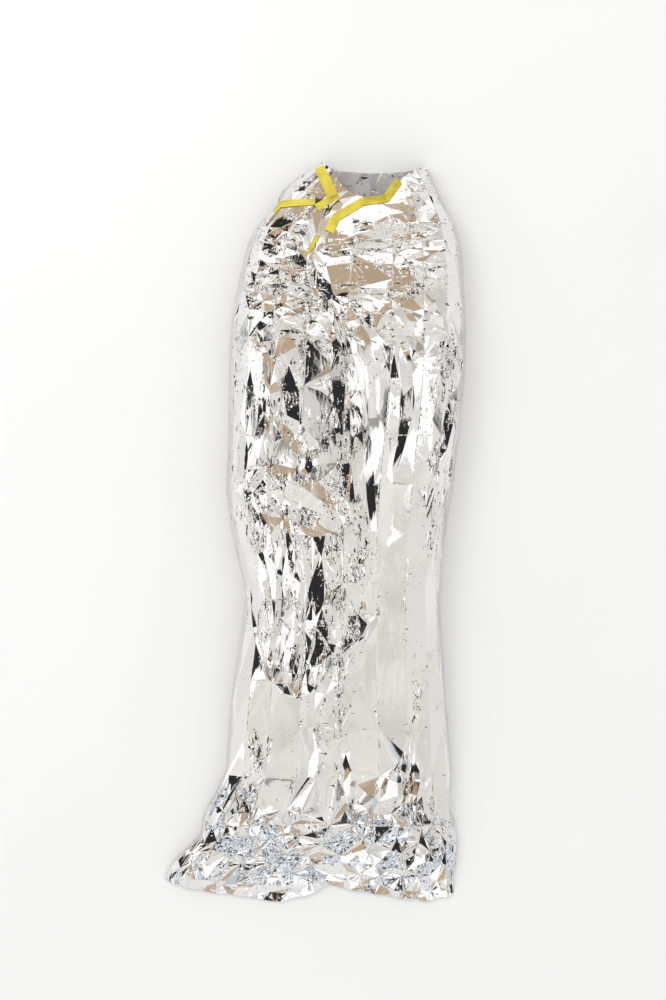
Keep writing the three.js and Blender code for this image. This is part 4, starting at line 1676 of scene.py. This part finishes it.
@dataclass
class TapeRun:
    """One stretch of the mouth tape that shows between the folds, in straight strips, in millimetres."""

    node: str
    strips: tuple[Strip, ...]
    finish: TapeFinish
    thick: float = 0.6
    gap: float = 0.7
    stack_gap: float = 0.2
    step: float = 3.0
    across: int = 6
    least_height: float = 30.0
    ridge_share: float = 0.5

    def plan(self, strip: Strip) -> tuple[Array, Array]:
        """Lays a grid over one strip.

        Args:
            strip: The strip's corners.

        Returns:
            The grid's plan places, and the height that the strip's slope adds to them.
        """
        corners = strip_line(strip)
        way = np.diff(corners, axis=0)
        way /= np.linalg.norm(way, axis=1, keepdims=True)
        normal = np.stack([-way[:, 1], way[:, 0]], axis=1)
        joint = np.vstack([normal[:1], normal[:-1] + normal[1:], normal[-1:]])
        joint /= np.linalg.norm(joint, axis=1, keepdims=True)
        reach = joint * np.array([p.width for p in strip])[:, None] / 2.0
        reach[1:-1] /= np.sum(joint[1:-1] * normal[1:], axis=1, keepdims=True)
        tilt = np.array([p.slope * p.width for p in strip])[:, None]
        rows = resample(np.hstack([corners, reach, tilt]), self.step)
        share = np.linspace(-1.0, 1.0, self.across + 1)
        grid = rows[:, None, :2] + rows[:, None, 2:4] * share[None, :, None]
        tilt = rows[:, 4:5]
        return grid, np.abs(tilt) * (share * np.sign(tilt) + 1.0) / 2.0

    def film_height(self, plan: Array, bag: bpy.types.Object) -> Array:
        """Measures the film under a grid, kept above its small ridges.

        Args:
            plan: The grid's plan places.
            bag: The bag that the tape lies on.

        Returns:
            The film's height at each place.
        """
        tree = BVHTree.FromObject(bag, bpy.context.evaluated_depsgraph_get())
        rows, columns = plan.shape[:2]
        z = np.full((rows, columns), np.nan)
        for i, j in np.ndindex(z.shape):
            hit = tree.ray_cast((plan[i, j, 0] * MM, plan[i, j, 1] * MM, 1.0), (0.0, 0.0, -1.0))[0]
            if hit is not None and hit.z > self.least_height * MM:
                z[i, j] = hit.z / MM
        z = np.where(np.isnan(z), np.nanmean(z), z)
        padded = np.pad(z, 1, mode="edge")
        near = [padded[a : a + rows, b : b + columns] for a in range(3) for b in range(3)]
        return self.ridge_share * np.max(near, axis=0) + (1.0 - self.ridge_share) * z

    def build(self, bag: bpy.types.Object) -> bpy.types.Object:
        """Makes the tape as thin closed strips that lie on the film.

        Args:
            bag: The bag that the tape lies on.

        Returns:
            The tape's object.
        """
        points, faces, start = [], [], 0
        for i, strip in enumerate(self.strips):
            plan, rise = self.plan(strip)
            z = self.film_height(plan, bag) + rise + self.gap + i * (self.thick + self.stack_gap)
            under = np.concatenate([plan, z[..., None]], axis=-1)
            upper = under + np.array([0.0, 0.0, self.thick])
            count = z.size
            ids = np.arange(count).reshape(z.shape) + start
            rim = np.concatenate([ids[0, :], ids[1:, -1], ids[-1, -2::-1], ids[-2:0:-1, 0]])
            top = [[a + count for a in f] for f in self.quads(ids)]
            base = [f[::-1] for f in self.quads(ids)]
            sides = [[b, a, a + count, b + count] for a, b in zip(rim, np.roll(rim, -1))]
            points += [under.reshape(-1, 3), upper.reshape(-1, 3)]
            faces += top + base + sides
            start += 2 * count
        return mesh_object(f"{self.node}_strip", np.vstack(points), faces, Shading.CREASED)

    def quads(self, ids: Array) -> list[list[int]]:
        """Faces of a grid of point numbers."""
        corners = (ids[:-1, :-1], ids[1:, :-1], ids[1:, 1:], ids[:-1, 1:])
        return np.stack([c.ravel() for c in corners], axis=1).tolist()

    def dress(self, strip: bpy.types.Object) -> None:
        """Gives the strip its finish and its place in the frame."""
        strip.data.materials.append(self.finish.material())
        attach(strip, "root")
        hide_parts(self.node)


PALE: Colour = (0.845, 0.825, 0.795)
WHITE: Colour = (1.3, 1.3, 1.3)
GLOW: Colour = (0.9, 0.88, 0.85)
TAN: Colour = (0.553, 0.423, 0.303)
MID: Colour = (0.375, 0.37, 0.36)
DARK: Colour = (0.03, 0.03, 0.032)
BLUE: Colour = (0.645, 0.69, 0.75)


@dataclass(frozen=True)
class Card:
    """A patch of the room that the film mirrors, round one direction.

    x and y are the direction's coordinates, with half widths; cover is how solid the card is, and soft is
    half the width over which its edges fade.
    """

    name: str
    x: float
    y: float
    half_x: float
    half_y: float
    colour: Colour
    cover: float = 1.0
    soft: float = 0.01


@dataclass(frozen=True)
class Band:
    """Tones of the room towards one range of directions along the bag.

    low is where the range starts; each tone has the noise value at which it starts and its colour.
    """

    low: float
    tones: tuple[tuple[float, Colour], ...]


@dataclass
class Studio:
    """Plain pale floor, soft room light and the camera above the bag.

    The room has bands of tones overhead, others towards its rim, and cards in front of both.
    """

    bands: tuple[Band, ...] = (
        Band(-1.0, ((0.0, DARK), (0.34, MID), (0.39, BLUE), (0.48, PALE), (0.54, WHITE), (0.66, TAN))),
        Band(-0.62, ((0.0, MID), (0.27, PALE), (0.66, WHITE))),
        Band(-0.26, ((0.0, DARK), (0.38, MID), (0.41, PALE), (0.575, WHITE), (0.70, PALE))),
        Band(-0.06, ((0.0, DARK), (0.41, MID), (0.45, PALE), (0.57, WHITE), (0.67, PALE))),
        Band(0.15, ((0.0, DARK), (0.34, WHITE), (0.39, TAN), (0.58, WHITE), (0.67, PALE))),
        Band(0.45, ((0.0, TAN), (0.38, WHITE), (0.54, PALE), (0.62, DARK))),
    )
    rims: tuple[Band, ...] = (
        Band(-1.0, ((0.0, DARK), (0.38, MID), (0.42, BLUE), (0.48, WHITE), (0.57, PALE), (0.64, TAN))),
        Band(-0.3, ((0.0, DARK), (0.50, MID), (0.53, WHITE), (0.645, PALE), (0.70, TAN))),
        Band(0.28, ((0.0, DARK), (0.46, TAN), (0.52, WHITE), (0.61, PALE), (0.66, TAN))),
    )
    band_soft: float = 0.03
    rim_from: float = 0.64
    rim_soft: float = 0.04
    clutter: Noise = Noise(2.6, 1.5)
    clutter_bend: float = 0.4
    calm_right: Span = (-0.12, 0.1)
    contrast: Span = (1.5, 0.6)
    vivid_from: Span = (0.1, 0.2)
    rim_clutter: Noise = Noise(3.4, 1.0)
    mottle: Noise = Noise(8.0, 1.0)
    mottle_span: Span = (0.3, 0.7)
    mottle_light: Span = (0.87, 1.08)
    backdrop: Colour = (0.93, 0.93, 0.93)
    fill: Colour = (0.95, 0.95, 0.95)
    cards: tuple[Card, ...] = (
        Card("left_window", -0.87, -0.05, 0.14, 0.27, WHITE, 0.9),
        Card("left_low_window", -0.96, -0.16, 0.06, 0.06, GLOW),
        Card("left_floor_wall", -0.86, -0.28, 0.05, 0.05, GLOW),
        Card("left_dark", -0.86, 0.3, 0.12, 0.08, DARK),
        Card("side_dark", -0.67, -0.11, 0.07, 0.17, DARK),
        Card("near_dark", -0.52, 0.0, 0.04, 0.05, DARK),
        Card("pleat_window", -0.5, -0.19, 0.08, 0.11, WHITE, 0.9),
        Card("right_low_wall", 0.74, -0.3, 0.26, 0.22, PALE, 0.95),
        Card("pleat_dark", 0.72, -0.45, 0.12, 0.13, DARK),
        Card("right_high_wall", 0.74, 0.38, 0.24, 0.26, PALE, 0.8),
        Card("right_dark", 0.79, 0.02, 0.09, 0.08, DARK),
        Card("far_dark", 0.95, -0.12, 0.045, 0.03, DARK),
        Card("left_mid_wall", -0.5, 0.2, 0.14, 0.07, PALE, 0.8),
        Card("low_dark", -0.36, -0.62, 0.1, 0.04, DARK),
        Card("warm_wall", 0.1, 0.39, 0.33, 0.12, TAN, 0.9),
        Card("warm_floor", -0.32, -0.87, 0.2, 0.12, TAN, 0.8),
        Card("floor_window", 0.18, -0.8, 0.12, 0.14, WHITE, 0.8),
        Card("warm_corner", -0.58, 0.64, 0.16, 0.14, TAN, 0.75),
        Card("top_window", 0.2, 0.7, 0.32, 0.1, WHITE, 0.85),
        Card("neck_wall", 0.1, 0.92, 0.34, 0.11, TAN, 0.9),
        Card("far_wall", 0.0, 0.96, 0.6, 0.065, PALE, 0.9),
        Card("panel_window", 0.19, 0.0, 0.05, 0.05, WHITE, 0.8),
        Card("tall_window", 0.57, 0.06, 0.07, 0.11, WHITE, 0.9),
        Card("low_left_wall", -0.3, -0.13, 0.07, 0.04, PALE),
        Card("left_wall", -1.0, 0.0, 0.035, 0.9, PALE),
        Card("right_wall", 1.0, 0.0, 0.05, 0.9, PALE, soft=0.02),
    )
    horizon_soft: float = 0.02
    floor_half: float = 6000.0
    floor_drop: float = 0.5
    light_size: float = 1.6
    light_power: float = 22.0
    light_at: Triple = (-1.6, 1.8, 2.6)
    camera_at: Triple = (0.039, 0.072, 4.5)
    camera_aim: Triple = (0.039, 0.072, 0.06)
    camera_reach: float = 50.0
    lens: float = 74.0

    def build(self) -> None:
        """Makes the floor, the light and the camera."""
        self.floor()
        self.world()
        self.lights()
        self.camera()

    def floor(self) -> None:
        """Makes a wide plain floor under the bag."""
        corners = np.array([(-1.0, -1.0), (1.0, -1.0), (1.0, 1.0), (-1.0, 1.0)]) * self.floor_half
        points = np.column_stack([corners, np.full(len(corners), -self.floor_drop)])
        made = mesh_object("floor", points, [[0, 1, 2, 3]], Shading.FLAT)
        made.data.materials.append(FloorFinish().material())

    def world(self) -> None:
        """Makes soft even room light, with an uneven room for the film to mirror."""
        world = bpy.data.worlds.new("room")
        world.use_nodes = True
        bpy.context.scene.world = world
        n = Nodes(world.node_tree)
        towards = n.add("TexCoord").outputs["Generated"]
        way = {axis: n.part(towards, axis) for axis in "XYZ"}
        colour = self.carded(n, way, self.room(n, towards, way))
        path = n.add("LightPath")
        lit = n.blend(path.outputs["Is Diffuse Ray"], colour, self.fill)
        seen = n.blend(path.outputs["Is Camera Ray"], lit, self.backdrop)
        light = n.add("Background", {"Color": seen, "Strength": 1.0})
        n.add("OutputWorld", {"Surface": light.outputs[0]})

    def room(self, n: Nodes, towards: Socket, way: dict[str, Socket]) -> Socket:
        """Colours the room behind the cards.

        Args:
            n: Adds the nodes.
            towards: The direction.
            way: The direction's coordinates, by axis.

        Returns:
            The colour.
        """
        noise = n.noise(towards, self.clutter, bend=self.clutter_bend)
        vivid = n.ramp(way["X"], *self.calm_right, *self.contrast)
        vivid = n.math("MAXIMUM", vivid, n.ramp(way["Y"], *self.vivid_from))
        uneven = n.math("MULTIPLY", n.math("SUBTRACT", noise, 0.5), vivid)
        near = self.banded(n, n.math("ADD", uneven, 0.5), way["Y"], self.bands)
        far = self.banded(n, n.noise(towards, self.rim_clutter), way["Y"], self.rims)
        out = n.math("SUBTRACT", 1.0, n.math("MULTIPLY", way["Z"], way["Z"]))
        edge = self.rim_from**2
        colour = n.blend(n.ramp(out, edge - self.rim_soft, edge + self.rim_soft), near, far)
        mottle = n.noise(towards, self.mottle)
        return n.scaled(colour, n.ramp(mottle, *self.mottle_span, *self.mottle_light))

    def banded(self, n: Nodes, value: Socket, along: Socket, bands: tuple[Band, ...]) -> Socket:
        """Joins the colours of several bands, each from its own direction along the bag.

        Args:
            n: Adds the nodes.
            value: The noise value.
            along: The direction's coordinate along the bag.
            bands: The bands, in rising order.

        Returns:
            The colour.
        """
        colour = self.tones(n, value, bands[0])
        for band in bands[1:]:
            share = n.ramp(along, band.low - self.band_soft, band.low + self.band_soft)
            colour = n.blend(share, colour, self.tones(n, value, band))
        return colour

    def tones(self, n: Nodes, value: Socket, band: Band) -> Socket:
        """Colours one band, with hard edges between its tones.

        Args:
            n: Adds the nodes.
            value: The noise value.
            band: The band.

        Returns:
            The colour.
        """
        ramp = n.add("ValToRGB", {0: value})
        ramp.color_ramp.interpolation = "CONSTANT"
        stops = ramp.color_ramp.elements
        stops.remove(stops[1])
        for i, (start, colour) in enumerate(band.tones):
            stop = stops[0] if i == 0 else stops.new(start)
            stop.position = start
            stop.color = (*colour, 1.0)
        return ramp.outputs["Color"]

    def carded(self, n: Nodes, way: dict[str, Socket], colour: Socket) -> Socket:
        """Puts the cards in front of the room, above the horizon.

        Args:
            n: Adds the nodes.
            way: The direction's coordinates, by axis.
            colour: The room's colour.

        Returns:
            The colour with the cards.
        """
        for card in self.cards:
            shares = []
            for axis, centre, half in (("X", card.x, card.half_x), ("Y", card.y, card.half_y)):
                away = n.math("ABSOLUTE", n.math("SUBTRACT", way[axis], centre))
                shares.append(n.ramp(away, half - card.soft, half + card.soft, 1.0, 0.0))
            up = n.ramp(way["Z"], -self.horizon_soft, self.horizon_soft, 0.0, card.cover)
            share = n.math("MULTIPLY", n.math("MULTIPLY", *shares), up)
            colour = n.blend(share, colour, card.colour, card.name)
        return colour

    def lights(self) -> None:
        """Makes a soft light from the upper left that shapes the shadows."""
        data = bpy.data.lights.new("softbox", "AREA")
        data.shape = "RECTANGLE"
        data.size = self.light_size
        data.size_y = self.light_size
        data.energy = self.light_power
        light = bpy.data.objects.new("softbox", data)
        light.location = self.light_at
        light.visible_glossy = False
        light.rotation_euler = (-Vector(self.light_at)).to_track_quat("-Z", "Y").to_euler()
        bpy.context.scene.collection.objects.link(light)

    def camera(self) -> None:
        """Makes a camera above the bag, with the mouth at the top of the picture."""
        data = bpy.data.cameras.new("camera")
        data.lens = self.lens
        data.clip_end = self.camera_reach
        made = bpy.data.objects.new("camera", data)
        made.location = self.camera_at
        aim = Vector(self.camera_aim) - Vector(self.camera_at)
        made.rotation_mode = "QUATERNION"
        made.rotation_quaternion = aim.to_track_quat("-Z", "Y")
        bpy.context.scene.collection.objects.link(made)
        bpy.context.scene.camera = made


def main() -> None:
    """Builds the studio, the bag and its tape."""
    logging.basicConfig(level=logging.INFO, format="%(name)s: %(message)s")
    Studio().build()
    calm_paths = tuple(strip_line(strip) for strips in TAPE_STRIPS.values() for strip in strips)
    film = FilmBag(FilmShape(calm_paths=calm_paths), FilmFinish())
    bag = film.build()
    film.dress(bag)
    area = sum(p.area for p in bag.data.polygons)
    LOG.info("%s: %d faces, %.3f m2 of film", bag.name, len(bag.data.polygons), area)
    for node, strips in TAPE_STRIPS.items():
        run = TapeRun(node, strips, TapeFinish())
        strip = run.build(bag)
        run.dress(strip)
        LOG.info("%s: %d faces", strip.name, len(strip.data.polygons))
    bpy.context.scene.view_settings.view_transform = "Standard"


if __name__ == "__main__":
    main()
